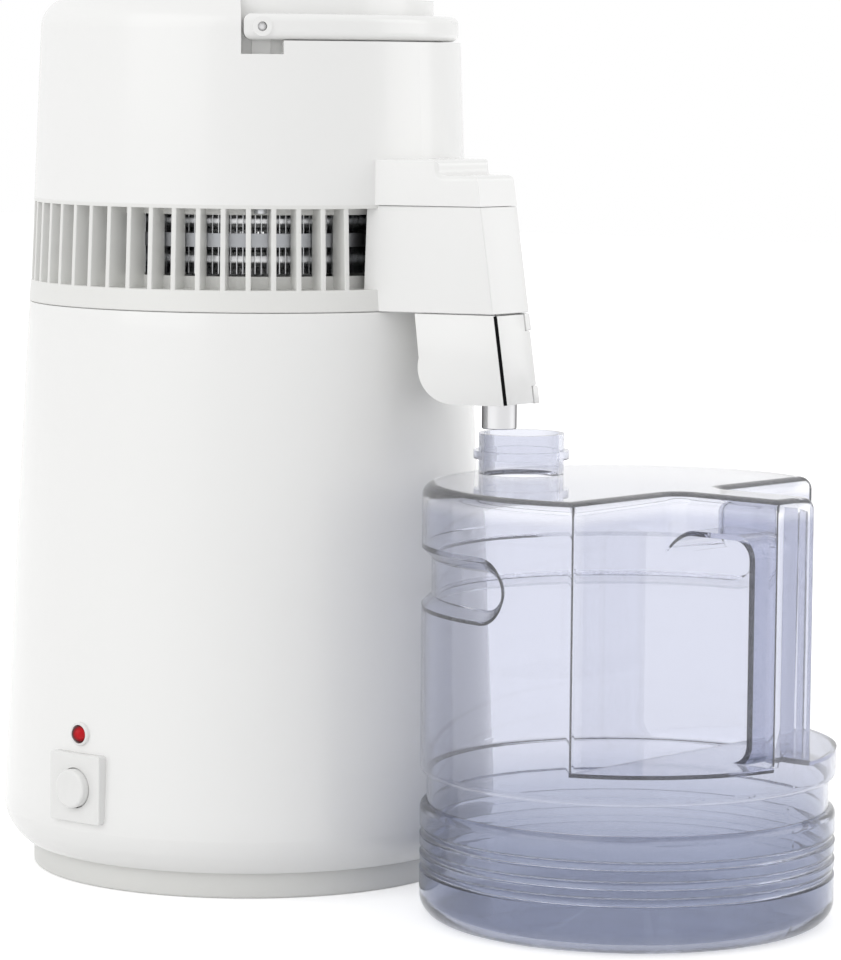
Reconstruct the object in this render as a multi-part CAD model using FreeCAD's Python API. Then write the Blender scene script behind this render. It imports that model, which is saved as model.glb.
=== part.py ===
"""Countertop water distiller and its collection jug, one solid or group of solids for each real piece.

Millimetres, +Z up. The origin is on the boiler's axis, at the level that it stands on. The spout
points along +X and the control panel is on the -Y side. The parts come apart at the seam height:
boiler below, head with its fan, condenser and spout above.
"""

import FreeCAD, Part

import math
import os

# --- Boiler housing
seam_height = 257.5        # top edge of the boiler, where the head lifts off
body_radius = 111.8        # largest outer radius
bulge_height = 28.0        # height of the largest radius
wall_taper = 11.5          # how much smaller the radius is at the top edge
wall_bow = 0.35            # how far the tapered side stands out from a straight line
crease_inset = 2.8         # the crease where the side turns under, inside the largest radius
crease_height = 20.0
rim_inset = 9.8            # the edge of the flat underside, inside the largest radius
rim_height = 12.0          # height of that underside above the counter
housing_wall = 2.5

# --- Base pan and its screws
foot_inset = 3.8           # the pan's side inside the edge of the underside
foot_height = 18.0
pan_wall = 2.5
pan_round = 1.2
pan_boss_inset = 12.2      # circle of the screws inside the pan's side
pan_boss_radius = 5.0
pan_boss_rise = 21.7       # how far the housing's bosses rise above the pan
pan_screw_grip = 10.0      # how far a pan screw reaches into its boss
rib_thickness = 2.4
screw_radius = 1.6
screw_head_radius = 3.2
screw_head_height = 2.2
screw_cross = 4.0          # length of the cross recess
screw_cross_width = 0.8
screw_clearance = 0.2
screw_well = 2.0           # how much deeper a screw's hole is than the screw
boss_count = 4

# --- Boiling tank and its heater
tank_inset = 10.3          # the tank's side inside the boiler's top edge
tank_base_height = 62.0
tank_wall = 1.2
tank_corner = 12.0
tank_lip = 5.0             # how far the tank's flange reaches out past its side
tank_drop = 7.0            # the tank's flange below the boiler's top edge
ledge_thickness = 3.0
spreader_inset = 16.0      # the spreader's edge inside the tank's side
spreader_thickness = 4.0
element_inset = 16.0       # the element's circle inside the spreader's edge
element_width = 9.0
element_depth = 7.0
element_sweep = 300.0      # degrees of the circle that the heating element fills
terminal_radius = 3.15
terminal_length = 12.0
stud_radius = 2.5
stud_length = 15.0
clamp_width = 20.0
clamp_thickness = 2.0
nut_width = 8.0
nut_sides = 6
nut_height = 4.0
thermostat_radius = 8.0
thermostat_height = 9.0
thermostat_offset = 30.0
thermostat_flange = 1.5
fuse_inset = 28.0          # along each side, inside the element's circle
fuse_radius = 2.2
fuse_length = 14.0
saddle_width = 4.0
saddle_foot = 2.0
saddle_thickness = 0.8
tab_width = 6.0            # push-on tabs of the electrical pieces
tab_thickness = 0.8
tab_length = 7.0
tab_spacing = 9.0
strip_length = 40.0        # terminal strip on the pan's floor
strip_width = 16.0
strip_height = 13.0
strip_offset = 42.0
strip_pitch = 10.0
strip_ways = 4
strip_well_radius = 2.4
strip_wire_radius = 1.8
strip_wire_height = 5.0

# --- Control panel, on the wall beside the spout
panel_azimuth = -93.0
plate_width = 30.0
plate_height = 30.6
plate_center_height = 47.0
plate_proud = 2.4          # how far the plate's face stands off the housing
plate_depth = 8.0
plate_corner = 1.5
plate_edge = 0.5
button_radius = 8.6
button_proud = 3.6
button_travel = 2.5
button_gap = 0.4
button_length = 9.0
button_edge = 1.0
button_wall = 1.8
button_front = 3.0         # thickness of the button's front
dish_radius = 60.0
dish_depth = 0.5
stem_radius = 3.0
guide_wall = 1.8
switch_width = 20.0
switch_height = 18.0
switch_depth = 12.0
spring_wire = 0.8
spring_turns = 4.0
spring_sides = 8
lamp_rise = 23.6           # height of the lamp above the plate's middle
bezel_radius = 5.2
bezel_proud = 1.6
bezel_depth = 3.0
bezel_edge = 0.6
lens_radius = 4.1
lens_proud = 4.2
lens_dome = 5.125
lamp_depth = 9.0

# --- Mains inlets, on the far side
inlet_azimuth = 90.0
inlet_height = 42.0
head_inlet_rise = 37.8     # height of the head's inlet above its lower edge
inlet_width = 27.0
inlet_rise = 20.0
inlet_depth = 19.0
inlet_flange = 3.0
inlet_flange_thickness = 2.0
inlet_flange_depth = 6.0
inlet_corner = 2.0
inlet_wall = 2.0
pin_width = 2.0
pin_rise = 4.0
pin_pitch = 7.0
pin_setback = 5.0
earth_lift = 2.0           # height of the middle pin above the inlet's middle
line_drop = 1.0            # how far the outer pins are below it

# --- Head: vent ring, top shell and intake
vent_rise = 9.8            # bottom of the air slots above the boiler's top edge
slot_height = 35.3
cap_thickness = 1.6        # rim above the slots, under the top shell
band_taper = 0.8           # how much smaller the radius is at the bottom of the slots
upper_taper = 2.3          # and at the top shell's lower edge
slat_count = 56
slat_thickness = 2.3
slat_depth = 10.0
slat_gap_angle = 21.0      # slats are left out this far each side of the spout
sill_rise = 5.5            # the inner wall behind the slats, above and below the slots
lintel_drop = 3.0
inner_ring_wall = 2.2
head_wall = 2.5
head_rise = 89.8           # from the top shell's lower edge to the top
shoulder_taper = 3.0       # how much smaller the radius is where the top's rounding starts
shoulder_round = 13.6
plateau_inset = 12.3       # raised middle of the top, inside the shoulder
intake_inset = 32.7        # intake's edge inside the raised middle
intake_thickness = 2.5
intake_seat = 3.0          # width of the rim that the intake rests on
intake_slot = 3.0
intake_pitch = 7.5
intake_rim = 5.0
spine_width = 5.0
head_boss_radius = 4.0
head_boss_length = 14.0
head_boss_inset = 1.0      # screws inside the middle of the slats
head_screw_grip = 9.0
head_screw_trim = 0.4      # how much smaller these screws' heads are

# --- Carrying handle
handle_azimuth = -48.0     # direction of the handle's pivot axis
handle_offset = 6.3        # middle of the bail outside the raised middle
handle_width = 10.0
handle_depth = 11.2
handle_drop = 12.8         # pivot axis below the top
handle_corner = 3.5
handle_tail = 8.0          # how far each end reaches past its pin
handle_pin_radius = 2.0
handle_pin_depth = 9.0     # how far the pins reach into the raised middle
handle_pin_reach = 2.0     # and past the bail's middle
handle_gap = 0.4
boss_ring_radius = 4.3
boss_ring_proud = 0.6
pad_radius = 5.0           # pad inside the shell that holds a pin
lug_width = 8.2
notch_gap = 1.25           # notch beside the handle's tail
notch_depth = 5.9          # notch below the shelf

# --- Spout
spout_reach = 46.1         # front face at the lower seam, outside the boiler's top edge
spout_slope = 0.155        # how far the front face moves out for each unit down
spout_half_width = 13.6    # at the front face
spout_root_inset = 5.0     # where the flare is measured, inside the top shell's lower edge
spout_root_half_width = 30.0
spout_tail = 20.0          # how far the spout's plan reaches behind that
spout_wall = 2.0
spout_rise = 19.8          # top of the spout's box above the top shell's lower edge
nose_rise = 13.3           # top of its nose
nose_length = 26.4         # from the front face back to the step in the top
spout_edge = 2.5           # rounding of the spout's top edges
hood_drop = 39.3           # underside of the lower spout below the seam
hood_gap = 11.2            # rear edge of the lower spout outside the boiler's top edge
hood_back_lean = 2.5
hood_corner_rise = 19.8
hood_corner_reach = 17.0
seam_gap = 0.25

# --- Filter door in the spout's front
door_thickness = 2.2
door_margin = 1.2          # post left beside the door's free edge
door_slit = 1.6            # open slit along the door's free edge
door_step = 1.0            # how much deeper the recess is than the door
hinge_inset = 1.8          # hinge axis behind the front face and inside the far side
knuckle_radius = 1.7
knuckle_length = 6.0
knuckle_low_gap = 1.4
knuckle_high_gap = 1.2
hinge_pin_radius = 0.8
hinge_pin_inset = 0.5
hinge_clearance = 0.05

# --- Filter cup and nozzle
nozzle_setback = 5.8       # nozzle's axis behind the front face at the seam
nozzle_radius = 7.6
nozzle_wall = 0.9
nozzle_reach = 11.0        # below the spout's underside
nozzle_collar = 1.2
cup_setback = 3.0          # the cup's axis behind the nozzle's
cup_radius = 7.6
cup_wall = 1.0
cup_lift = 7.8             # the cup's base above the spout's underside
cup_rise = 20.0
drain_radius = 1.2
drain_circle = 3.0
drain_count = 4
sachet_gap = 0.4
sachet_drop = 3.0

# --- Steam dome, condenser and fan
gasket_thickness = 2.5
gasket_width = 5.0
dome_thickness = 1.0
dome_rise = 16.0
dome_inset = 6.0           # the dome's foot inside the tank's side
riser_radius = 5.0
riser_wall = 1.5
riser_stub = 5.0
coil_tube_radius = 4.0
link_radius = 3.4          # tubes between the turns
outlet_radius = 3.0        # narrower tube from the coil down to the filter cup
outlet_dip = 1.5           # how far that tube reaches into the cup
coil_rise = 29.7           # upper turn above the bottom of the air slots
coil_pitch = 17.0          # from one turn to the other
fin_count = 24
fin_reach = 8.0
fin_rise = 6.2
fin_thickness = 1.0
coil_band_thickness = 0.8
coil_band_rise = 3.0
hub_radius = 14.0
hub_height = 14.0
hub_round = 2.0
hub_front = 3.0
fan_rise = 11.8            # the fan above the top shell's lower edge
blade_count = 6
blade_inset = 23.8         # blade tips inside the ring behind the slats
blade_root = 6.0           # how deep the blades reach into the hub
blade_thickness = 1.4
blade_chord = 30.0
blade_root_pitch = 38.0
blade_tip_pitch = 24.0
shaft_radius = 2.5
shaft_clearance = 0.05
shaft_inset = 4.0
motor_radius = 25.0
motor_gap = 8.0
motor_height = 30.0
motor_round = 3.0
bearing_wall = 4.0
bearing_rise = 4.0
bracket_rise = 12.0        # bracket above the motor's lower end
bracket_thickness = 2.5
bracket_hoop = 5.0
bracket_arm_width = 12.0
bracket_post_inset = 12.7  # posts inside the raised middle
bracket_post_radius = 4.5
bracket_screw_grip = 12.0
bracket_arms = 3

# --- Collection jug
jug_radius = 89.6
jug_gap = 8.1              # from the boiler's side to the jug's
jug_center_y = 1.5
jug_turn = -5.0            # handle direction, measured from the spout direction
jug_clearance = 1.9        # neck below the nozzle
jug_wall = 2.0
jug_base_round = 9.6
jug_floor = 3.0
groove_heights = (22.6, 29.5, 37.6)
groove_depth = 1.8
groove_half_width = 2.1
waist_low = 46.5
waist_height = 19.5
waist_depth = 3.0
waist_blend = 3.5
cutback_lift = 10.0        # bottom of the cut-backs and of the finger opening, above the waist
cutback_distance = 36.0    # from the jug's axis to the wall behind the handle
handle_half_thickness = 14.0
handle_grip_depth = 15.0   # from the jug's outside to the finger opening
bridge_depth = 18.0        # from the jug's top down to the finger opening
finger_round = 8.0
jug_edge_round = 5.5
cutback_round = 7.0        # inner corner between cut-back and handle
handle_round = 5.0         # outer corners of the handle
cutback_edge_round = 3.0   # outer corners of the cut-backs
recess_drop = 27.6         # thumb groove's upper edge below the jug's top
recess_rise = 24.5
recess_depth = 4.3
recess_bevel = 4.4
recess_end = 87.0          # where the groove ends, each side of the handle direction
neck_inset = 27.6          # the neck's axis inside the jug's side
neck_radius = 18.7
neck_wall = 2.2
neck_rise = 17.8           # the neck above the jug's top
collar_drop = 9.3          # the collar's middle below the neck's end
collar_radius = 21.0
collar_rise = 3.6

fit_gap = 0.3              # running gap between separate mouldings
overcut = 1.0              # how far a cutter reaches past the faces that it cuts
beyond = 200.0             # reach of cutters that are open to one side
tiny = 0.01                # points closer than this are taken as one
edge_match = 0.1           # how near an edge stands to the place where it is looked for

# --- Values that follow from the ones above
seam_radius = body_radius - wall_taper
crease_radius = body_radius - crease_inset
rim_radius = body_radius - rim_inset
foot_radius = rim_radius - foot_inset
pan_boss_circle = foot_radius - pan_boss_inset
tank_radius = seam_radius - tank_inset
spreader_radius = tank_radius - spreader_inset
element_circle = spreader_radius - element_inset
ledge_top = seam_height - tank_drop
tank_flange_top = ledge_top + tank_wall
dome_flange_low = tank_flange_top + gasket_thickness
dome_flange_top = dome_flange_low + dome_thickness
dome_edge_radius = tank_radius - dome_inset
dome_apex = dome_flange_top + dome_rise
spreader_low = tank_base_height - spreader_thickness
element_low = spreader_low - element_depth
lamp_height = plate_center_height + lamp_rise

vent_low = seam_height + vent_rise
vent_high = vent_low + slot_height
upper_seam_height = vent_high + cap_thickness
top_height = upper_seam_height + head_rise
head_inlet_height = upper_seam_height + head_inlet_rise
band_radius = seam_radius - band_taper
upper_seam_radius = seam_radius - upper_taper
shoulder_radius = upper_seam_radius - shoulder_taper
plateau_radius = shoulder_radius - plateau_inset
intake_radius = plateau_radius - intake_inset
inner_ring_outer = upper_seam_radius - slat_depth
inner_ring_inner = inner_ring_outer - inner_ring_wall

handle_radius = plateau_radius + handle_offset
handle_height = top_height - handle_drop
ledge_height = handle_height - handle_depth / 2 - handle_gap
notch_floor = ledge_height - notch_depth
notch_half_width = handle_tail + notch_gap

spout_nose = seam_radius + spout_reach
spout_root = upper_seam_radius - spout_root_inset
spout_top = upper_seam_height + spout_rise
nose_top = upper_seam_height + nose_rise
hood_low = seam_height - hood_drop
hood_high = seam_height - seam_gap
hood_back = seam_radius + hood_gap
hood_corner_height = hood_low + hood_corner_rise
hinge_axis_y = spout_half_width - hinge_inset
door_edge_y = hinge_axis_y - math.hypot(hinge_inset, knuckle_radius) - fit_gap
nozzle_distance = spout_nose - nozzle_setback
nozzle_low = hood_low - nozzle_reach
cup_distance = nozzle_distance - cup_setback
cup_base_height = hood_low + cup_lift
cup_top = cup_base_height + cup_rise

coil_circle = inner_ring_inner - coil_band_thickness - fin_reach
upper_coil_height = vent_low + coil_rise
lower_coil_height = upper_coil_height - coil_pitch
fan_low = upper_seam_height + fan_rise
blade_radius = inner_ring_inner - blade_inset
motor_low = fan_low + hub_height + motor_gap
bracket_low = motor_low + bracket_rise
bracket_post_circle = plateau_radius - bracket_post_inset

jug_center_x = body_radius + jug_gap + jug_radius
neck_distance = jug_radius - neck_inset
neck_top = nozzle_low - jug_clearance
collar_height = neck_top - collar_drop
jug_height = neck_top - neck_rise
finger_high = jug_height - bridge_depth
recess_high = jug_height - recess_drop
recess_low = recess_high - recess_rise
waist_high = waist_low + waist_height
cutback_floor = waist_high + cutback_lift


def vec(x, y, z=0.0):
    """A point or direction."""
    return FreeCAD.Vector(x, y, z)


def move(shape, x=0.0, y=0.0, z=0.0):
    """A copy of a shape, moved."""
    copy = shape.copy()
    copy.translate(vec(x, y, z))
    return copy


def turn(shape, degrees, axis=None, at=None):
    """A copy of a shape, turned about an axis through a point; the vertical axis unless told otherwise."""
    copy = shape.copy()
    copy.rotate(at or vec(0, 0), axis or vec(0, 0, 1), degrees)
    return copy


def disc(radius, low, high, x=0.0, y=0.0):
    """A solid upright cylinder between two heights."""
    return Part.makeCylinder(radius, high - low, vec(x, y, low))


def ring(outer, inner, low, high):
    """An upright tube about the main axis."""
    return disc(outer, low, high).cut(disc(inner, low - overcut, high + overcut))


def upright_block(x_range, half_width, z_range):
    """A box that is centred on the XZ plane."""
    return block(x_range, (-half_width, half_width), z_range)


def block(x_range, y_range, z_range):
    """A box given by its extent along each axis."""
    sizes = [span[1] - span[0] for span in (x_range, y_range, z_range)]
    return Part.makeBox(*sizes, vec(x_range[0], y_range[0], z_range[0]))


def rod(start, end, radius):
    """A round bar between two points."""
    along = end - start
    return Part.makeCylinder(radius, along.Length, start, along)


def outline(start, *steps):
    """A closed face in the XZ plane. A step is its next point, or the mid point and end of an arc."""
    here = vec(start[0], 0, start[1])
    first = here
    edges = []
    for step in steps:
        if isinstance(step[0], tuple):
            middle, end = (vec(x, 0, z) for x, z in step)
            edges.append(Part.Arc(here, middle, end).toShape())
        else:
            end = vec(step[0], 0, step[1])
            if end.distanceToPoint(here) > tiny:
                edges.append(Part.makeLine(here, end))
        here = end
    if here.distanceToPoint(first) > tiny:
        edges.append(Part.makeLine(here, first))
    return Part.Face(Part.Wire(edges))


def turned(start, *steps):
    """A full revolution of an outline about the main axis."""
    return outline(start, *steps).revolve(vec(0, 0), vec(0, 0, 1), 360)


def arc_corner(center, radius, start_degrees, end_degrees):
    """The mid point and end point of a round corner, for outline()."""
    points = []
    for degrees in ((start_degrees + end_degrees) / 2, end_degrees):
        angle = math.radians(degrees)
        points.append((center[0] + radius * math.cos(angle), center[1] + radius * math.sin(angle)))
    return tuple(points)


def fuse_all(shapes):
    """One solid from several that meet."""
    return shapes[0].multiFuse(shapes[1:]).removeSplitter()


def around(count, shape, first=0.0):
    """Copies of a shape, evenly spaced about the main axis."""
    return [turn(shape, first + 360.0 / count * n) for n in range(count)]


def wall_radius(height):
    """Outer radius of the boiler housing at a height above its bulge."""
    share = (height - bulge_height) / (seam_height - bulge_height)
    return body_radius + (seam_radius - body_radius) * share + 4 * wall_bow * share * (1 - share)


# --- Boiler housing -------------------------------------------------------------------------------

def body_form(inset):
    """The boiler housing's solid form, or its inside when inset by the wall."""
    top = seam_height + (overcut if inset else 0.0)
    middle = (bulge_height + seam_height) / 2
    crease_middle = ((crease_radius + body_radius) / 2 + wall_bow, (crease_height + bulge_height) / 2)
    under_middle = ((rim_radius + crease_radius) / 2 + wall_bow, (rim_height + crease_height) / 2 - wall_bow)
    aslant = inset * math.sqrt(0.5)
    under_bend = (under_middle[0] - aslant, under_middle[1] + aslant)
    return turned(
        (0, rim_height + inset),
        (rim_radius - inset / 2, rim_height + inset),
        (under_bend, (crease_radius - inset, crease_height)),
        ((crease_middle[0] - inset, crease_middle[1]), (body_radius - inset, bulge_height)),
        ((wall_radius(middle) - inset, middle), (seam_radius - inset, seam_height)),
        (seam_radius - inset, top),
        (0, top),
    )


def boiler_shell():
    """Moulded outer housing: tapered wall, tank ledge, screw bosses and the openings for its fittings."""
    shell = body_form(0).cut(body_form(housing_wall))
    under = disc(foot_radius + fit_gap, rim_height - overcut, rim_height + housing_wall + overcut)
    shell = shell.cut(under)
    ledge_reach = wall_radius(ledge_top) - housing_wall / 2
    ledge = turned(
        (ledge_reach, ledge_top),
        (tank_radius + fit_gap, ledge_top),
        (tank_radius + fit_gap, ledge_top - ledge_thickness),
        (ledge_reach, ledge_top - 3 * ledge_thickness),
    )
    boss_low = foot_height + fit_gap
    boss_high = boss_low + pan_boss_rise
    boss = disc(pan_boss_radius, boss_low, boss_high, pan_boss_circle)
    rib_end = crease_radius - housing_wall / 2
    rib = upright_block((pan_boss_circle, rib_end), rib_thickness / 2, (crease_height + overcut, boss_high))
    hole_top = foot_height + pan_screw_grip + screw_well
    hole = disc(screw_radius, boss_low - overcut, hole_top, pan_boss_circle)
    fitted = boss.fuse(rib).cut(hole)
    shell = fuse_all([shell, ledge] + around(boss_count, fitted, 45))
    for opening in (panel_opening(), lamp_opening(), inlet_opening(inlet_height, wall_radius(inlet_height))):
        shell = shell.cut(opening)
    return shell


def base_pan():
    """Shallow pan that closes the housing from below and stands on the counter."""
    pan = disc(foot_radius, 0, foot_height)
    pan = pan.makeFillet(pan_round, bottom_edges(pan))
    pan = pan.cut(disc(foot_radius - pan_wall, pan_wall, foot_height + overcut))
    boss = disc(pan_boss_radius, pan_wall / 2, foot_height, pan_boss_circle)
    through = disc(screw_radius + screw_clearance, -overcut, foot_height + overcut, pan_boss_circle)
    counterbore = disc(screw_head_radius + fit_gap, -overcut, 2 * screw_head_height, pan_boss_circle)
    pan = fuse_all([pan] + around(boss_count, boss, 45))
    for cutter in around(boss_count, through.fuse(counterbore), 45):
        pan = pan.cut(cutter)
    return pan


def bottom_edges(shape):
    """The circular edges of a cylinder's lower face."""
    low = shape.BoundBox.ZMin
    return [edge for edge in shape.Edges if abs(edge.BoundBox.ZMax - low) < tiny]


def pan_screws():
    """Self-tapping screws that hold the pan to the housing."""
    head_low = screw_head_height
    head = disc(screw_head_radius, head_low, 2 * screw_head_height, pan_boss_circle)
    shank = disc(screw_radius, head_low, foot_height + pan_screw_grip, pan_boss_circle)
    reach = screw_cross / 2
    span = (head_low - overcut, head_low + screw_head_height / 2)
    cross = upright_block((pan_boss_circle - reach, pan_boss_circle + reach), screw_cross_width / 2, span)
    screw = head.fuse(shank).cut(cross).cut(turn(cross, 90, at=vec(pan_boss_circle, 0)))
    return Part.makeCompound(around(boss_count, screw, 45))


# --- Tank and heater ------------------------------------------------------------------------------

def tank_form(radius, low, corner, high):
    """A flat-bottomed vessel form with a rounded corner."""
    return turned(
        (0, low),
        (radius - corner, low),
        arc_corner((radius - corner, low + corner), corner, -90, 0),
        (radius, high),
        (0, high),
    )


def boil_tank():
    """Stainless tank with a flange that hangs on the housing's ledge."""
    outer = tank_form(tank_radius, tank_base_height, tank_corner, tank_flange_top)
    inner_low = tank_base_height + tank_wall
    inner_high = tank_flange_top + overcut
    inner = tank_form(tank_radius - tank_wall, inner_low, tank_corner - tank_wall, inner_high)
    flange = ring(tank_radius + tank_lip, tank_radius - tank_wall, ledge_top, tank_flange_top)
    return outer.cut(inner).fuse(flange).removeSplitter()


def heat_spreader():
    """Aluminium disc brazed under the tank, with the stud that carries the clamp."""
    plate = disc(spreader_radius, spreader_low, tank_base_height)
    stud = disc(stud_radius, spreader_low - stud_length, spreader_low)
    return plate.fuse(stud)


def heating_element():
    """Sheathed element bent to an open ring, flat against the spreader, with two terminals."""
    half = element_width / 2
    side = element_low + half
    profile = outline(
        (element_circle - half, spreader_low),
        (element_circle + half, spreader_low),
        (element_circle + half, side),
        ((element_circle, element_low), (element_circle - half, side)),
    )
    bend = profile.revolve(vec(0, 0), vec(0, 0, 1), element_sweep)
    leg_low = element_low - terminal_length
    leg = disc(terminal_radius, leg_low, spreader_low - overcut, element_circle)
    tab = electric_tab(element_circle, 0, leg_low + tiny, across=True)
    end = leg.fuse(tab)
    inward = math.degrees(half / element_circle)
    body = fuse_all([bend, turn(end, inward), turn(end, element_sweep - inward)])
    return turn(body, 270 - element_sweep / 2)


def electric_tab(x, y, high, across=False):
    """A push-on tab that hangs down from a height."""
    thick = tab_thickness / 2
    wide = tab_width / 2
    along = (thick, wide) if across else (wide, thick)
    return block((x - along[0], x + along[0]), (y - along[1], y + along[1]), (high - tab_length, high))


def heater_clamp():
    """Pressed strap that holds the element up against the spreader."""
    reach = element_circle + element_width / 2
    low = element_low - clamp_thickness
    strap = upright_block((-reach, reach), clamp_width / 2, (low, element_low))
    return strap.cut(disc(stud_radius + fit_gap, low - overcut, element_low + overcut))


def clamp_nut():
    """Hexagon nut on the spreader's stud."""
    high = element_low - clamp_thickness
    low = high - nut_height
    corner = nut_width / 2 / math.cos(math.pi / nut_sides)
    points = []
    for n in range(nut_sides + 1):
        angle = math.tau * n / nut_sides
        points.append(vec(corner * math.cos(angle), corner * math.sin(angle), low))
    nut = Part.Face(Part.makePolygon(points)).extrude(vec(0, 0, nut_height))
    return nut.cut(disc(stud_radius, low - overcut, high + overcut))


def thermostat(side):
    """Snap-disc thermostat with its mounting cap and two push-on tabs."""
    cap_low = spreader_low - thermostat_flange
    cap = disc(thermostat_radius + thermostat_flange, cap_low, spreader_low, 0, side)
    low = spreader_low - thermostat_height
    case = disc(thermostat_radius, low, cap_low, 0, side)
    tabs = [electric_tab(x, side, low) for x in (-tab_spacing / 2, tab_spacing / 2)]
    return fuse_all([cap, case] + tabs)


def thermal_fuse():
    """One-shot fuse held against the spreader by its saddle."""
    x = fuse_inset - element_circle
    y = element_circle - fuse_inset
    low = spreader_low - 2 * fuse_radius
    level = low + fuse_radius
    tube = rod(vec(x - fuse_length / 2, y, level), vec(x + fuse_length / 2, y, level), fuse_radius)
    reach = fuse_radius + saddle_foot
    half = saddle_width / 2
    saddle = block((x - half, x + half), (y - reach, y + reach), (low - saddle_thickness, spreader_low))
    return tube.fuse(saddle).removeSplitter()


def terminal_block():
    """Screw terminal strip on the pan's floor."""
    half = strip_width / 2
    back = strip_offset - half
    front = strip_offset + half
    top = pan_wall + strip_height
    wire_height = pan_wall + strip_wire_height
    body = block((-strip_length / 2, strip_length / 2), (back, front), (pan_wall, top))
    for n in range(strip_ways):
        x = strip_pitch * (n - (strip_ways - 1) / 2)
        body = body.cut(disc(strip_well_radius, wire_height, top + overcut, x, strip_offset))
        start = vec(x, back - overcut, wire_height)
        body = body.cut(rod(start, start + vec(0, strip_width + 2 * overcut), strip_wire_radius))
    return body


# --- Control panel --------------------------------------------------------------------------------

def plate_face():
    """Distance of the switch plate's flat face from the main axis."""
    return wall_radius(plate_center_height - plate_height / 2) + plate_proud


def guide_radius():
    """Outer radius of the sleeve behind the switch plate."""
    return button_radius + button_gap + guide_wall


def guide_end():
    """Distance from the main axis of the sleeve's inner end."""
    return plate_face() - plate_proud - housing_wall - button_travel - button_length


def radial_rod(inner, outer, radius, height):
    """A round bar that points away from the main axis along +X."""
    return rod(vec(inner, 0, height), vec(outer, 0, height), radius)


def panel_opening():
    """Hole in the housing for the switch plate's sleeve."""
    radius = guide_radius() + fit_gap / 2
    hole = radial_rod(guide_end() - overcut, plate_face() + overcut, radius, plate_center_height)
    return turn(hole, panel_azimuth)


def lamp_opening():
    """Hole in the housing for the indicator lamp."""
    seat = wall_radius(lamp_height)
    hole = radial_rod(seat - lamp_depth, seat + lamp_depth, lens_radius + fit_gap, lamp_height)
    return turn(hole, panel_azimuth)


def outer_edges(shape):
    """The edges of the face that is furthest out along +X."""
    reach = shape.BoundBox.XMax
    return [edge for edge in shape.Edges if edge.BoundBox.XMin > reach - tiny]


def edges_along_x(shape):
    """The edges that run the full length of a box along X."""
    length = shape.BoundBox.XLength
    return [edge for edge in shape.Edges if edge.BoundBox.XLength > length - tiny]


def switch_plate():
    """Raised square plate with the sleeve that guides the button."""
    face = plate_face()
    half = plate_height / 2
    span = (plate_center_height - half, plate_center_height + half)
    plate = upright_block((face - plate_depth, face), plate_width / 2, span)
    plate = plate.makeFillet(plate_corner, edges_along_x(plate))
    plate = plate.makeFillet(plate_edge, outer_edges(plate))
    plate = turn(plate, panel_azimuth).cut(body_form(0))
    sleeve = radial_rod(guide_end(), face - plate_proud, guide_radius(), plate_center_height)
    bore_radius = button_radius + button_gap
    bore = radial_rod(guide_end() - overcut, face + overcut, bore_radius, plate_center_height)
    return plate.fuse(turn(sleeve, panel_azimuth)).cut(turn(bore, panel_azimuth)).removeSplitter()


def power_button():
    """Round push button with a shallow finger dish and a stem."""
    outer = plate_face() + button_proud
    inner = outer - button_length
    cap = radial_rod(inner, outer, button_radius, plate_center_height)
    cap = cap.makeFillet(button_edge, outer_edges(cap))
    dish_center = vec(outer + dish_radius - dish_depth, 0, plate_center_height)
    cap = cap.cut(Part.makeSphere(dish_radius, dish_center))
    hollow_radius = button_radius - button_wall
    hollow = radial_rod(inner - overcut, outer - button_front, hollow_radius, plate_center_height)
    stem_end = guide_end() + button_travel + fit_gap
    stem = radial_rod(stem_end, outer - button_front / 2, stem_radius, plate_center_height)
    return turn(cap.cut(hollow).fuse(stem).removeSplitter(), panel_azimuth)


def button_spring():
    """Coil spring round the button's stem, between the button and the switch."""
    inner_end = guide_end() + spring_wire
    outer_end = plate_face() + button_proud - button_front - spring_wire
    coil_radius = (stem_radius + button_radius - button_wall) / 2
    helix = Part.makeHelix((outer_end - inner_end) / spring_turns, outer_end - inner_end, coil_radius)
    corners = []
    for n in range(spring_sides + 1):
        angle = math.tau * n / spring_sides
        across = spring_wire / 2 * math.cos(angle)
        corners.append(vec(coil_radius + across, 0, spring_wire / 2 * math.sin(angle)))
    spring = Part.Wire(helix.Edges).makePipeShell([Part.makePolygon(corners)], True, True)
    spring = turn(spring, 90, vec(0, 1, 0))
    return turn(move(spring, inner_end, 0, plate_center_height), panel_azimuth)


def switch_body():
    """Latching mains switch behind the button."""
    end = guide_end()
    back = end - switch_depth
    half = switch_height / 2
    span = (plate_center_height - half, plate_center_height + half)
    case = upright_block((back, end), switch_width / 2, span)
    tab = upright_block(
        (back - tab_length, back),
        tab_thickness / 2,
        (plate_center_height - tab_width / 2, plate_center_height + tab_width / 2),
    )
    tabs = [move(tab, y=y) for y in (-tab_spacing / 2, tab_spacing / 2)]
    return turn(fuse_all([case] + tabs), panel_azimuth)


def lamp_bezel():
    """Ring round the indicator lens, seated on the housing."""
    seat = wall_radius(lamp_height)
    front = seat + bezel_proud
    bezel = radial_rod(seat - bezel_depth, front, bezel_radius, lamp_height)
    bezel = bezel.makeFillet(bezel_edge, outer_edges(bezel))
    bezel = bezel.cut(radial_rod(seat - bezel_depth - overcut, front + overcut, lens_radius, lamp_height))
    return turn(bezel, panel_azimuth).cut(body_form(0))


def lamp_lens():
    """Domed lens of the indicator lamp."""
    seat = wall_radius(lamp_height)
    inner = seat - housing_wall
    lens = radial_rod(inner, seat + lens_proud, lens_radius, lamp_height)
    ball = Part.makeSphere(lens_dome, vec(seat + lens_proud - lens_dome, 0, lamp_height))
    limit = ball.fuse(radial_rod(inner, seat + bezel_proud, lens_radius, lamp_height))
    return turn(lens.common(limit), panel_azimuth)


def lamp_body():
    """Neon holder behind the lens."""
    seat = wall_radius(lamp_height) - housing_wall
    return turn(radial_rod(seat - lamp_depth, seat, lens_radius, lamp_height), panel_azimuth)


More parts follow.
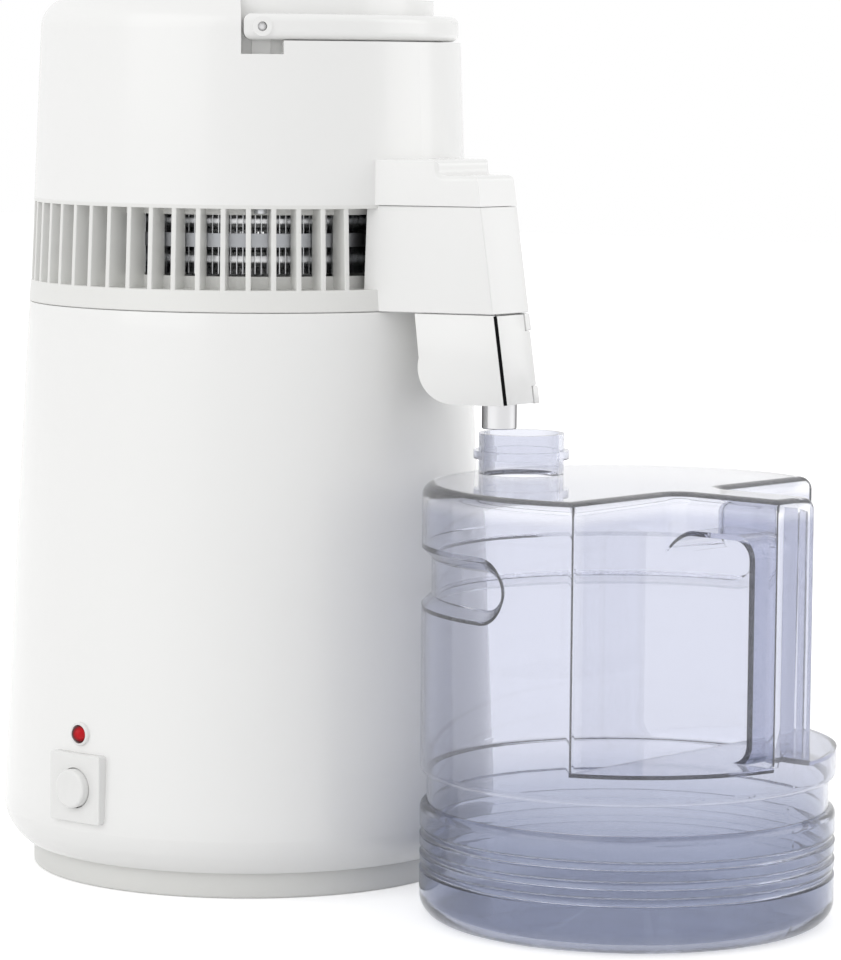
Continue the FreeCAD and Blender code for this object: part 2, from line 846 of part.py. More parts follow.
# --- Mains inlets ---------------------------------------------------------------------------------

def inlet_opening(height, face):
    """Hole in a housing wall for a mains inlet."""
    half = inlet_width / 2 + fit_gap / 2
    rise = inlet_rise / 2 + fit_gap / 2
    span = (height - rise, height + rise)
    return turn(upright_block((face - inlet_depth, face + inlet_flange_depth), half, span), inlet_azimuth)


def mains_inlet(height, face, housing):
    """Flanged three-pin inlet socket, seated on a round wall."""
    half = inlet_width / 2
    rise = inlet_rise / 2
    front = face + inlet_flange_thickness
    back = face - inlet_depth
    case = upright_block((back, front), half, (height - rise, height + rise))
    low = height - rise - inlet_flange
    high = height + rise + inlet_flange
    flange = upright_block((face - inlet_flange_depth, front), half + inlet_flange, (low, high))
    flange = flange.makeFillet(inlet_corner, edges_along_x(flange)).cut(housing)
    cavity_span = (height - rise + inlet_wall, height + rise - inlet_wall)
    cavity = upright_block((back + 2 * inlet_wall, front + overcut), half - inlet_wall, cavity_span)
    pins = []
    for step in (-1, 0, 1):
        level = height + (-line_drop if step else earth_lift)
        span = (level - pin_rise / 2, level + pin_rise / 2)
        pin = upright_block((back + inlet_wall, front - pin_setback), pin_width / 2, span)
        pins.append(move(pin, y=step * pin_pitch))
    return turn(fuse_all([flange.fuse(case).cut(cavity)] + pins), inlet_azimuth)


def boiler_inlet():
    """Mains inlet of the boiler."""
    return mains_inlet(inlet_height, wall_radius(inlet_height), turn(body_form(0), -inlet_azimuth))


def head_inlet():
    """Inlet of the head, which feeds the fan."""
    return mains_inlet(head_inlet_height, head_radius(head_inlet_height), turn(head_form(0), -inlet_azimuth))


# --- Spout forms ----------------------------------------------------------------------------------

def nose_at(height):
    """Distance of the spout's front face from the main axis at a height."""
    return spout_nose - spout_slope * (height - seam_height)


def spout_form(inset, low, high):
    """The spout's tapered plan, drawn up along the lean of its front face, and inset by a wall."""
    lean = spout_slope * (seam_height - low)
    flare = (spout_root_half_width - spout_half_width) / (spout_nose - spout_root)
    nose = spout_nose + lean - inset
    back = spout_root - spout_tail
    front_half = spout_half_width - inset + flare * inset
    back_half = front_half + flare * (nose - back - lean)
    corners = [vec(back, -back_half), vec(nose, -front_half), vec(nose, front_half), vec(back, back_half)]
    plan = Part.Face(Part.makePolygon(corners + corners[:1]))
    prism = plan.extrude(vec(-spout_slope * (high - low), 0, high - low))
    return move(prism, z=low)


def hood_profile(inset, high):
    """Side outline of the lower spout: a rear edge that curves forward into the flat underside."""
    back = hood_back + inset
    low = hood_low + inset
    knee = back + hood_back_lean
    bend = (knee + hood_corner_reach / 4, low + hood_corner_rise / 4)
    front = nose_at(low) + spout_wall
    face = outline(
        (back, high),
        (knee, hood_corner_height),
        (bend, (knee + hood_corner_reach, low)),
        (front, low),
        (front, high),
    )
    return move(face, y=-beyond).extrude(vec(0, 2 * beyond, 0))


# --- Head -----------------------------------------------------------------------------------------

def head_radius(height):
    """Outer radius of the top shell at a height below its rounded shoulder."""
    share = (height - upper_seam_height) / (top_height - shoulder_round - upper_seam_height)
    return upper_seam_radius + (shoulder_radius - upper_seam_radius) * share


def handle_side(low, distance):
    """A large block on the side of the handle's pivot axis towards which the handle folds."""
    half = block((-beyond, beyond), (-distance, beyond), (low, top_height + overcut))
    return turn(half, handle_azimuth)


def head_form(inset):
    """The top shell's solid form: a tapered drum whose rounded top is cut to a shelf on one side."""
    low = upper_seam_height - (overcut if inset else 0.0)
    top = top_height - inset
    start = top_height - shoulder_round
    center = (shoulder_radius - shoulder_round, start)
    drum = turned(
        (0, low),
        (upper_seam_radius - inset, low),
        (shoulder_radius - inset, start),
        arc_corner(center, shoulder_round - inset, 0, 90),
        (0, top),
    )
    shelf = ring(beyond, plateau_radius - inset, ledge_height - inset, top_height + overcut)
    return drum.cut(shelf.common(handle_side(ledge_height - inset, inset)))


def pin_notches(inset):
    """Notches in the head round the handle's two pins, reaching below the shelf."""
    low = notch_floor - inset
    high = top_height + overcut
    notch = ring(beyond, plateau_radius - inset, low, high)
    cutter = notch.common(upright_block((0, beyond), notch_half_width + inset, (low, high)))
    return turn(cutter, handle_azimuth), turn(cutter, handle_azimuth + 180)


def upper_spout(inset):
    """The spout's upper box, whose top steps down towards the nose."""
    low = upper_seam_height - (overcut if inset else 0.0)
    form = spout_form(inset, low, spout_top - inset)
    step_at = spout_nose - nose_length - inset
    step = upright_block((step_at, beyond), beyond, (nose_top - inset, spout_top + overcut))
    form = form.cut(step)
    if inset:
        return form
    top_edges = []
    for edge in form.Edges:
        box = edge.BoundBox
        forward = box.XMin > spout_root - spout_tail - overcut and box.XMax > upper_seam_radius
        if box.ZMin > nose_top - tiny and forward:
            top_edges.append(edge)
    return form.makeFillet(spout_edge, top_edges)


def upright_column(radius):
    """A cylinder about the main axis that is taller than the appliance."""
    return disc(radius, 0, top_height + overcut)


def top_shell():
    """Upper cover of the head: drum, shelf and notches for the handle, and the spout's upper box."""
    outer = head_form(0)
    inner = head_form(head_wall)
    for cutter in pin_notches(0):
        outer = outer.cut(cutter)
    for cutter in pin_notches(head_wall):
        inner = inner.cut(cutter)
    box = upper_spout(0).cut(upright_column(spout_root - spout_root_inset))
    hollow = upper_spout(spout_wall).cut(upright_column(spout_root - spout_root_inset - head_wall))
    shell = outer.fuse(box).cut(inner).cut(hollow)
    shell = fuse_all([shell] + bracket_posts() + pin_pads() + head_bosses())
    shell = shell.cut(disc(intake_radius + fit_gap, top_height - intake_thickness, top_height + overcut))
    shell = shell.cut(disc(intake_radius - intake_seat, top_height - 2 * head_wall, top_height + overcut))
    start = plateau_radius - handle_pin_depth
    hole = radial_rod(start, plateau_radius + head_wall, handle_pin_radius, handle_height)
    for side in (0, 180):
        shell = shell.cut(turn(hole, handle_azimuth + side))
    screw_top = bracket_low + bracket_screw_grip + screw_well
    for cutter in around(bracket_arms, disc(screw_radius, bracket_low, screw_top, bracket_post_circle), 90):
        shell = shell.cut(cutter)
    return shell.cut(inlet_opening(head_inlet_height, head_radius(head_inlet_height)))


def bracket_posts():
    """Posts inside the top that carry the motor's bracket."""
    low = bracket_low + bracket_thickness
    post = disc(bracket_post_radius, low, top_height - head_wall / 2, bracket_post_circle)
    return around(bracket_arms, post, 90)


def pin_pads():
    """Pads inside the shell's wall that hold the handle's pins, each with a lug below."""
    front = plateau_radius - head_wall / 2
    pad = radial_rod(plateau_radius - handle_pin_depth, front, pad_radius, handle_height)
    span = (notch_floor - overcut, handle_height - pad_radius)
    lug = upright_block((front, plateau_radius + overcut), lug_width / 2, span)
    return [turn(shape, handle_azimuth + side) for side in (0, 180) for shape in (pad, lug)]


def head_screw_azimuths():
    """Directions of the screws between vent ring and top shell, midway between slats."""
    pitch = 360.0 / slat_count
    return [pitch * (n + 0.5) for n in (6, 20, 34, 48)]


def head_screw_circle():
    """Distance of those screws from the main axis."""
    return (inner_ring_outer + upper_seam_radius) / 2 - head_boss_inset


def head_bosses():
    """Screw bosses inside the top shell, joined to its wall."""
    bosses = []
    low = upper_seam_height
    high = low + head_boss_length
    well = disc(screw_radius, low - overcut, low + head_screw_grip + screw_well, head_screw_circle())
    boss = disc(head_boss_radius, low, high, head_screw_circle())
    boss = boss.common(disc(head_radius(high) - head_wall / 2, low - overcut, high + overcut)).cut(well)
    for azimuth in head_screw_azimuths():
        bosses.append(turn(boss, azimuth))
    return bosses


def head_screws():
    """Screws that hold the vent ring to the top shell."""
    seat = vent_high
    low = seat - screw_head_height
    shank = disc(screw_radius, low, upper_seam_height + head_screw_grip, head_screw_circle())
    head = disc(screw_head_radius - head_screw_trim, low, seat, head_screw_circle())
    screw = shank.fuse(head).removeSplitter()
    return Part.makeCompound([turn(screw, azimuth) for azimuth in head_screw_azimuths()])


def vent_ring():
    """Slatted middle ring of the head, with the spout's middle box."""
    seam = seam_height + seam_gap
    band = turned(
        (seam_radius - 2 * housing_wall, seam),
        (seam_radius, seam),
        (band_radius, vent_low),
        (inner_ring_inner, vent_low),
        (inner_ring_inner, vent_low - head_wall),
        (band_radius - housing_wall, vent_low - head_wall),
    )
    sill = ring(inner_ring_outer, inner_ring_inner, dome_flange_top, vent_low + sill_rise)
    cap = ring(upper_seam_radius, inner_ring_inner, vent_high, upper_seam_height)
    lintel = ring(inner_ring_outer, inner_ring_inner, vent_high - lintel_drop, vent_high + tiny)
    body = fuse_all([band, sill, cap, lintel] + vent_slats())
    top = upper_seam_height - seam_gap
    box = spout_form(0, seam, top).cut(upright_column(inner_ring_outer + head_wall / 2))
    hollow = spout_form(spout_wall, seam + spout_wall, top + overcut)
    body = body.fuse(box).cut(hollow.cut(upright_column(inner_ring_inner - 2 * head_wall)))
    way_down = spout_form(2 * spout_wall + door_thickness, seam - overcut, seam + 2 * spout_wall)
    body = body.cut(hood_profile(2 * spout_wall, seam + 2 * spout_wall).common(way_down))
    hole = disc(screw_radius, vent_high - overcut, upper_seam_height + overcut, head_screw_circle())
    for azimuth in head_screw_azimuths():
        body = body.cut(turn(hole, azimuth))
    return body.removeSplitter()


def vent_slats():
    """The upright slats, all round but for the spout."""
    slat = outline(
        (inner_ring_outer - overcut, vent_low - overcut),
        (band_radius, vent_low - overcut),
        (band_radius, vent_low),
        (upper_seam_radius, vent_high + overcut),
        (inner_ring_outer - overcut, vent_high + overcut),
    )
    slat = move(slat, y=-slat_thickness / 2).extrude(vec(0, slat_thickness, 0))
    slats = []
    for n in range(slat_count):
        azimuth = 360.0 / slat_count * n
        if min(azimuth, 360 - azimuth) > slat_gap_angle:
            slats.append(turn(slat, azimuth))
    return slats


def spout_hood():
    """Lower spout cover that hangs beside the boiler, with the hinge knuckles of the filter door."""
    outer = spout_form(0, hood_low, hood_high).common(hood_profile(0, hood_high))
    over = hood_high + overcut
    inner = spout_form(spout_wall, hood_low, over).common(hood_profile(spout_wall, over))
    hood = outer.cut(inner).cut(door_space())
    hinge = [hinge_rod(knuckle_radius, low, low + knuckle_length) for low in hinge_ends()]
    hood = fuse_all([hood] + hinge)
    hood = hood.cut(hinge_rod(hinge_pin_radius, hood_low - overcut, over))
    return hood.cut(disc(nozzle_radius, hood_low - overcut, hood_low + 2 * spout_wall, nozzle_distance))


def hinge_point(height):
    """A point on the filter door's hinge axis."""
    return vec(nose_at(height) - hinge_inset, hinge_axis_y, height)


def hinge_rod(radius, low, high):
    """A round bar along the hinge axis."""
    return rod(hinge_point(low), hinge_point(high), radius)


def hinge_ends():
    """Lower heights of the two knuckles on the hood."""
    return hood_low + knuckle_low_gap, hood_high - knuckle_length - knuckle_high_gap


def front_slab(depth, y_range, z_range):
    """A slab behind the spout's front face, as deep as told."""
    low, high = z_range
    slab = spout_form(0, low, high).cut(spout_form(depth, low, high))
    return slab.common(block((spout_root, beyond), y_range, z_range))


def door_space():
    """The front opening that the filter door fills, with room for its knuckle and its slit."""
    span = (hood_low - overcut, seam_height + overcut)
    y_range = (door_margin - spout_half_width, hinge_axis_y - knuckle_radius)
    mouth = front_slab(door_thickness + door_step, y_range, span)
    low_end, high_end = hinge_ends()
    low = low_end + knuckle_length
    relief = hinge_rod(knuckle_radius + fit_gap, low, high_end)
    side = block((spout_root, beyond), (hinge_axis_y - knuckle_radius, beyond), (low, high_end))
    depth = hinge_inset + knuckle_radius + fit_gap
    band = spout_form(-spout_wall, low, high_end).cut(spout_form(depth, low, high_end))
    return fuse_all([mouth, relief, side.common(band)])


def filter_door():
    """Front door of the spout, with the knuckle that turns on the hinge pin."""
    low = hood_low + fit_gap
    high = hood_high - fit_gap
    slab = front_slab(door_thickness, (door_margin + door_slit - spout_half_width, door_edge_y), (low, high))
    low_end, high_end = hinge_ends()
    knuckle_span = (low_end + knuckle_length + fit_gap, high_end - fit_gap)
    knuckle = hinge_rod(knuckle_radius, *knuckle_span)
    link = front_slab(door_thickness, (door_edge_y - overcut, hinge_axis_y), knuckle_span)
    door = fuse_all([slab, link, knuckle])
    return door.cut(hinge_rod(hinge_pin_radius + hinge_clearance, low - overcut, high + overcut))


def door_pin():
    """Pin of the filter door's hinge."""
    low_end, high_end = hinge_ends()
    low = low_end + hinge_pin_inset
    return hinge_rod(hinge_pin_radius, low, high_end + knuckle_length - hinge_pin_inset)


def nozzle():
    """Stainless outlet tube with the collar that hangs it in the hood's floor."""
    collar_low = hood_low + spout_wall
    outer = disc(nozzle_radius, nozzle_low, cup_base_height, nozzle_distance)
    collar = disc(nozzle_radius + nozzle_collar, collar_low, collar_low + nozzle_wall, nozzle_distance)
    bore_radius = nozzle_radius - nozzle_wall
    bore = disc(bore_radius, nozzle_low - overcut, cup_base_height + overcut, nozzle_distance)
    return outer.fuse(collar).cut(bore).removeSplitter()


def filter_cup():
    """Open cup for the charcoal sachet, standing on the nozzle, with drain holes."""
    low = cup_base_height
    cup = disc(cup_radius, low, cup_top, cup_distance)
    cup = cup.cut(disc(cup_radius - cup_wall, low + cup_wall, cup_top + overcut, cup_distance))
    for n in range(drain_count):
        angle = math.tau * (n + 0.5) / drain_count
        x = cup_distance + drain_circle * math.cos(angle)
        y = drain_circle * math.sin(angle)
        cup = cup.cut(disc(drain_radius, low - overcut, low + cup_wall + overcut, x, y))
    return cup


def charcoal_sachet():
    """Soft pouch of charcoal, standing in the filter cup."""
    radius = cup_radius - cup_wall - sachet_gap
    pouch = disc(radius, cup_base_height + cup_wall + fit_gap, cup_top - sachet_drop, cup_distance)
    return pouch.makeFillet(radius / 2, level_edges(pouch))


def level_edges(shape):
    """The edges that lie level."""
    return [edge for edge in shape.Edges if edge.BoundBox.ZLength < tiny]


# --- Steam dome and condenser ---------------------------------------------------------------------

def dome_gasket():
    """Silicone ring between tank and dome."""
    outer = tank_radius + tank_lip
    return ring(outer, outer - gasket_width, tank_flange_top, dome_flange_low)


def steam_dome():
    """Pressed dome over the tank, with the steam riser at its middle."""
    inner_edge = dome_edge_radius - dome_thickness
    low = dome_flange_low
    flange_end = tank_radius + tank_lip
    inner_apex = dome_apex - dome_thickness
    shell = turned(
        (flange_end, low),
        (flange_end, dome_flange_top),
        (dome_edge_radius, dome_flange_top),
        ((dome_edge_radius / 2, dome_flange_top + dome_rise * 3 / 4), (0, dome_apex)),
        (0, inner_apex),
        ((inner_edge / 2, low + dome_rise * 3 / 4), (inner_edge, low)),
    )
    stub_top = dome_apex + riser_stub
    stub = disc(riser_radius + riser_wall, inner_apex, stub_top)
    bore = disc(riser_radius, inner_apex - riser_stub, stub_top + overcut)
    return shell.fuse(stub).cut(bore).removeSplitter()


def coil_row(height):
    """One turn of the condenser tube with its fins."""
    loop = Part.makeTorus(coil_circle, coil_tube_radius, vec(0, 0, height))
    span = (height - fin_rise, height + fin_rise)
    fin = upright_block((coil_circle - fin_reach, coil_circle + fin_reach), fin_thickness / 2, span)
    return [loop] + around(fin_count, fin, 180.0 / fin_count)


def condenser_coil():
    """Finned condenser: riser from the dome, two turns one above the other, and the outlet to the cup."""
    corner = vec(0, 0, upper_coil_height)
    riser = rod(vec(0, 0, dome_apex), corner, riser_radius - fit_gap)
    elbow = Part.makeSphere(riser_radius - fit_gap, corner)
    feed = rod(corner, vec(-coil_circle, 0, upper_coil_height), link_radius)
    link = rod(vec(0, coil_circle, lower_coil_height), vec(0, coil_circle, upper_coil_height), link_radius)
    drop_at = cup_distance - cup_radius + cup_wall + outlet_radius + 2 * fit_gap
    outlet_corner = vec(drop_at, 0, lower_coil_height)
    outlet = rod(vec(coil_circle, 0, lower_coil_height), outlet_corner, outlet_radius)
    outlet_elbow = Part.makeSphere(outlet_radius, outlet_corner)
    drop = rod(outlet_corner, vec(drop_at, 0, cup_top - outlet_dip), outlet_radius)
    rows = coil_row(upper_coil_height) + coil_row(lower_coil_height)
    return fuse_all(rows + [riser, elbow, feed, link, outlet, outlet_elbow, drop])


def coil_band():
    """Bright strap round both rows of fins, which holds the condenser in the vent ring."""
    outer = coil_circle + fin_reach + coil_band_thickness
    middle = (upper_coil_height + lower_coil_height) / 2
    return ring(outer, coil_circle + fin_reach, middle - coil_band_rise, middle + coil_band_rise)


# --- Fan ------------------------------------------------------------------------------------------

def blade_section(distance, pitch):
    """Upright section across a fan blade at a distance from the axis."""
    along = blade_chord / 2
    across = blade_thickness / 2
    tilt = math.radians(pitch)
    points = []
    for u, v in ((-along, -across), (along, -across), (along, across), (-along, across)):
        y = u * math.cos(tilt) - v * math.sin(tilt)
        z = u * math.sin(tilt) + v * math.cos(tilt)
        points.append(vec(distance, y, z))
    return Part.makePolygon(points + points[:1])


def fan_rotor():
    """Hub and pitched blades in one moulding."""
    top = fan_low + hub_height
    hub = disc(hub_radius, fan_low, top)
    hub = hub.makeFillet(hub_round, bottom_edges(hub))
    blade = Part.makeLoft([
        blade_section(hub_radius - blade_root, blade_root_pitch),
        blade_section(blade_radius, blade_tip_pitch),
    ], True, True)
    blade = move(blade, z=fan_low + hub_height / 2)
    blade = blade.common(disc(blade_radius, fan_low - overcut, top + overcut))
    bore = disc(shaft_radius, fan_low + hub_front, top + overcut)
    return fuse_all([hub] + around(blade_count, blade)).cut(bore)


def fan_shaft():
    """Steel shaft pressed in the fan's hub, running in the motor."""
    return disc(shaft_radius, fan_low + hub_front, motor_low + motor_height - shaft_inset)


def fan_motor():
    """Fan motor: round case with a bearing nose."""
    top = motor_low + motor_height
    case = disc(motor_radius, motor_low, top)
    case = case.makeFillet(motor_round, level_edges(case))
    nose_low = motor_low - bearing_rise
    nose = disc(shaft_radius + bearing_wall, nose_low, motor_low + overcut)
    bore = disc(shaft_radius + shaft_clearance, nose_low - overcut, top - shaft_inset + overcut)
    return case.fuse(nose).cut(bore)


def motor_bracket():
    """Three-armed bracket that hangs the motor from the top shell's posts."""
    high = bracket_low + bracket_thickness
    hoop = ring(motor_radius + bracket_hoop, motor_radius, bracket_low, high)
    half = bracket_arm_width / 2
    arm = upright_block((motor_radius + bracket_hoop / 2, bracket_post_circle), half, (bracket_low, high))
    arm = arm.fuse(disc(half, bracket_low, high, bracket_post_circle))
    arm = arm.cut(disc(screw_radius, bracket_low - overcut, high + overcut, bracket_post_circle))
    return fuse_all([hoop] + around(bracket_arms, arm, 90))


def bracket_screws():
    """Screws that hold the motor bracket to its posts."""
    low = bracket_low - screw_head_height
    shank = disc(screw_radius, low, bracket_low + bracket_screw_grip, bracket_post_circle)
    head = disc(screw_head_radius, low, bracket_low, bracket_post_circle)
    return Part.makeCompound(around(bracket_arms, shank.fuse(head).removeSplitter(), 90))


def intake_grille():
    """Slotted disc in the middle of the top, where the fan draws air in."""
    low = top_height - intake_thickness
    plate = disc(intake_radius, low, top_height)
    rim = intake_radius - intake_rim
    count = int(rim // intake_pitch)
    for n in range(-count, count + 1):
        y = n * intake_pitch
        half = math.sqrt(rim * rim - y * y)
        if half > 2 * intake_slot:
            slot = upright_block((-half, half), intake_slot / 2, (low - overcut, top_height + overcut))
            plate = plate.cut(move(slot, y=y))
    spine = block((-spine_width / 2, spine_width / 2), (-rim, rim), (low, top_height))
    return fuse_all([plate, spine])


# --- Carrying handle ------------------------------------------------------------------------------

def carry_handle():
    """Half-ring bail that lies on the shelf and turns up about two pins."""
    low = handle_height - handle_depth / 2
    high = low + handle_depth
    half = handle_width / 2
    bail = ring(handle_radius + half, handle_radius - half, low, high)
    arch = bail.common(block((-beyond, beyond), (0, beyond), (low - overcut, high + overcut)))
    ends = []
    for side in (-1, 1):
        x = side * handle_radius
        ends.append(block((x - half, x + half), (-handle_tail, 0), (low, high)))
    bail = fuse_all([arch] + ends)
    bail = bail.makeFillet(handle_corner, [edge for edge in bail.Edges if flat_rim(edge)])
    face = handle_radius + half
    boss = radial_rod(face - overcut, face + boss_ring_proud, boss_ring_radius, handle_height)
    bail = fuse_all([bail] + around(2, boss))
    hole = radial_rod(-beyond, beyond, handle_pin_radius + hinge_clearance, handle_height)
    return turn(bail.cut(hole), handle_azimuth)


def flat_rim(edge):
    """Whether an edge of the bail is one of its long rims or one of the short rims at its ends."""
    level = edge.BoundBox.ZLength < tiny
    at_end = abs(edge.BoundBox.YMax + handle_tail) < tiny
    return level and (edge.Length > 2 * handle_width or at_end)


def handle_pins():
    """The two pins on which the handle turns."""
    start = plateau_radius - handle_pin_depth
    pin = radial_rod(start, handle_radius + handle_pin_reach, handle_pin_radius, handle_height)
    return Part.makeCompound([turn(pin, handle_azimuth + side) for side in (0, 180)])


# --- Collection jug -------------------------------------------------------------------------------

def jug_drum(inset):
    """Round form of the jug: grooved foot, waist and straight side."""
    radius = jug_radius - inset
    floor = jug_floor if inset else 0.0
    corner = jug_base_round - inset
    steps = [(radius - corner, floor), arc_corner((radius - corner, floor + corner), corner, -90, 0)]
    for height in groove_heights:
        steps.append((radius, height - groove_half_width))
        steps.append(((radius - groove_depth, height), (radius, height + groove_half_width)))
    waist = radius - waist_depth
    bend = (waist_depth + waist_blend) / 7
    steps += [
        (radius, waist_low),
        ((radius - bend, waist_low + waist_blend - bend), (waist, waist_low + waist_blend)),
        (waist, waist_high - waist_blend),
        ((radius - bend, waist_high - waist_blend + bend), (radius, waist_high)),
        (radius, jug_height - inset),
        (0, jug_height - inset),
    ]
    return turned((0, floor), *steps)


def cutbacks(inset):
    """The two corner blocks that are cut away to leave the handle standing as a fin."""
    low = cutback_floor - inset
    near = cutback_distance - inset
    half = handle_half_thickness - inset
    blocks = []
    for side in (-1, 1):
        span = sorted((side * half, side * beyond))
        corner = block((near, beyond), tuple(span), (low, jug_height + overcut))
        bend = [edge for edge in corner.Edges if upright_at(edge, near, side * half)]
        blocks.append(corner.makeFillet(cutback_round + inset, bend))
    return blocks


def upright_at(edge, x, y):
    """Whether an edge stands upright at a place in plan."""
    box = edge.BoundBox
    close = math.hypot(box.XMin - x, box.YMin - y) < edge_match and box.XLength < edge_match
    return close and box.ZLength > recess_drop


def finger_opening(inset):
    """The opening through the handle; its lower corner by the wall runs into the cut-backs."""
    near = cutback_distance - inset
    far = jug_radius - handle_grip_depth + inset
    low = cutback_floor - inset
    hole = upright_block((near, far), beyond, (low, finger_high + inset))
    edges = []
    for edge in hole.Edges:
        box = edge.BoundBox
        by_the_floor = box.XMax < near + tiny and box.ZMax < low + tiny
        if box.YLength > beyond and not by_the_floor:
            edges.append(edge)
    return hole.makeFillet(finger_round + inset, edges)


def jug_body(inset):
    """The jug's form without its neck."""
    body = jug_drum(inset)
    for cutter in cutbacks(inset):
        body = body.cut(cutter)
    if not inset:
        half = handle_half_thickness
        reach = math.sqrt(jug_radius * jug_radius - half * half)
        body = body.makeFillet(handle_round, [e for e in body.Edges if corner_edge(e, reach, half)])
        across = math.sqrt(jug_radius * jug_radius - cutback_distance * cutback_distance)
        edges = [e for e in body.Edges if corner_edge(e, cutback_distance, across)]
        body = body.makeFillet(cutback_edge_round, edges)
        rims = [edge for edge in body.Edges if edge.BoundBox.ZMin > jug_height - tiny]
        body = body.makeFillet(jug_edge_round, rims)
    return body.cut(finger_opening(inset)).cut(side_recess(inset))


def corner_edge(edge, x, y):
    """Whether an edge is an upright corner of the jug at a place in plan, on either side."""
    return upright_at(edge, x, y) or upright_at(edge, x, -y)


def side_recess(inset):
    """The thumb groove that wraps round the jug's side, with round ends."""
    margin = 2 * jug_wall
    outer = jug_radius + margin
    inner = jug_radius - recess_depth - inset
    half = recess_rise / 2 + inset
    middle = (recess_low + recess_high) / 2
    spread = recess_bevel / recess_depth * (outer - inner)
    floor_half = half - recess_bevel
    profile = outline(
        (outer, middle - floor_half - spread),
        (inner, middle - floor_half),
        (inner, middle + floor_half),
        (outer, middle + floor_half + spread),
    )
    start = recess_end + math.degrees(half / jug_radius)
    belt = turn(profile.revolve(vec(0, 0), vec(0, 0, 1), 360 - 2 * start), start)
    band = ring(outer, inner, middle - half - margin, middle + half + margin)
    cone = Part.makeCone(floor_half, floor_half + spread, outer - inner, vec(inner, 0, middle), vec(1, 0, 0))
    cap = cone.fuse(radial_rod(inner - margin, inner, floor_half, middle)).common(band)
    return fuse_all([belt, turn(cap, start), turn(cap, -start)])


def collection_jug():
    """Clear one-piece jug with a built-in handle and an off-centre neck."""
    neck = disc(neck_radius, jug_height - jug_wall / 2, neck_top, -neck_distance)
    low = collar_height - collar_rise / 2
    collar = disc(collar_radius, low, low + collar_rise, -neck_distance)
    bore_low = jug_height - jug_wall - overcut
    bore = disc(neck_radius - neck_wall, bore_low, neck_top + overcut, -neck_distance)
    jug = fuse_all([jug_body(0).cut(jug_body(jug_wall)), neck, collar]).cut(bore)
    return move(turn(jug, jug_turn), jug_center_x, jug_center_y)


PARTS = {
    "boiler_shell": boiler_shell,
    "base_pan": base_pan,
    "pan_screws": pan_screws,
    "boil_tank": boil_tank,
    "heat_spreader": heat_spreader,
    "heating_element": heating_element,
    "heater_clamp": heater_clamp,
    "clamp_nut": clamp_nut,
    "control_thermostat": lambda: thermostat(thermostat_offset),
    "safety_thermostat": lambda: thermostat(-thermostat_offset),
    "thermal_fuse": thermal_fuse,
    "terminal_block": terminal_block,
    "switch_plate": switch_plate,
    "power_button": power_button,
    "button_spring": button_spring,
    "switch_body": switch_body,
    "lamp_bezel": lamp_bezel,
    "lamp_lens": lamp_lens,
    "lamp_body": lamp_body,
    "boiler_inlet": boiler_inlet,
    "vent_ring": vent_ring,
    "top_shell": top_shell,
    "intake_grille": intake_grille,
    "head_screws": head_screws,
    "head_inlet": head_inlet,
    "spout_hood": spout_hood,
    "filter_door": filter_door,
    "door_pin": door_pin,
    "nozzle": nozzle,
    "filter_cup": filter_cup,
    "charcoal_sachet": charcoal_sachet,
    "dome_gasket": dome_gasket,
    "steam_dome": steam_dome,
    "condenser_coil": condenser_coil,
    "coil_band": coil_band,
    "fan_rotor": fan_rotor,
    "fan_shaft": fan_shaft,
    "fan_motor": fan_motor,
    "motor_bracket": motor_bracket,
    "bracket_screws": bracket_screws,
    "carry_handle": carry_handle,
    "handle_pins": handle_pins,
    "collection_jug": collection_jug,
}


def main():
    """Build every part and write it to its own file."""
    os.makedirs("parts", exist_ok=True)
    for name, build in PARTS.items():
        shape = build()
        shape.exportStep(os.path.join("parts", name + ".step"))
        print(f"{name:20s} solids {len(shape.Solids)} valid {shape.isValid()} volume {shape.Volume:.0f}")


main()
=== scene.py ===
"""Looks of a countertop water distiller: white moulded boiler and head, finned condenser and clear jug.

Each sub-assembly is a class, whose fields are its sizes in millimetres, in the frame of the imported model:
+Z up, +X from the boiler's axis along the spout, and the control panel on the -Y side.
"""

import logging
import math
from dataclasses import dataclass
from enum import Enum
from typing import Iterable, Sequence

import bpy
from mathutils import Matrix, Quaternion, Vector

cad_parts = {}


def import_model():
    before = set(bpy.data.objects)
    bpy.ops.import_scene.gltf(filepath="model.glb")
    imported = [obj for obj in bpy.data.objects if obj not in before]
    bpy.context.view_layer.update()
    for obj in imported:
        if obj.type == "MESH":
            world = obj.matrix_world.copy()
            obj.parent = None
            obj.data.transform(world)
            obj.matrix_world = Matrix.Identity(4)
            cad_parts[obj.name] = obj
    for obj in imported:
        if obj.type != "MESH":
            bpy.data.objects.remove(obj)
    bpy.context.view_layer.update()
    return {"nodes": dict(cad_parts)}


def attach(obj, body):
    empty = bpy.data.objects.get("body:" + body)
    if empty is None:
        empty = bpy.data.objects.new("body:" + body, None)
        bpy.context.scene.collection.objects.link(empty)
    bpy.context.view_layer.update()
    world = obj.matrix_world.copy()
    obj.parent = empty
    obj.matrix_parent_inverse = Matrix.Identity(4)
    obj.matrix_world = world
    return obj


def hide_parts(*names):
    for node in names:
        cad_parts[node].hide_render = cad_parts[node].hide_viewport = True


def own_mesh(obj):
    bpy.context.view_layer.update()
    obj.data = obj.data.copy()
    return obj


LOG = logging.getLogger("distiller")
MM = 0.001                           # metres in a millimetre
SMOOTH_ANGLE = math.radians(32)      # edges sharper than this stay crisp
FLAT_ANGLE = math.radians(0.04)      # faces that turn less than this are one
SEAM_DISTANCE = 2e-6                 # metres within which a turned form's seam and poles close
WELD_DISTANCE = 1e-5                 # metres within which the points of a taken-over mesh join
MIX_FIRST, MIX_SECOND = 6, 7         # colour inputs of the Mix node
MIX_RESULT = 2                       # and its colour output
WHITE = (1.0, 1.0, 1.0)

Point2 = tuple[float, float]
Point3 = tuple[float, float, float]
Colour = tuple[float, float, float]


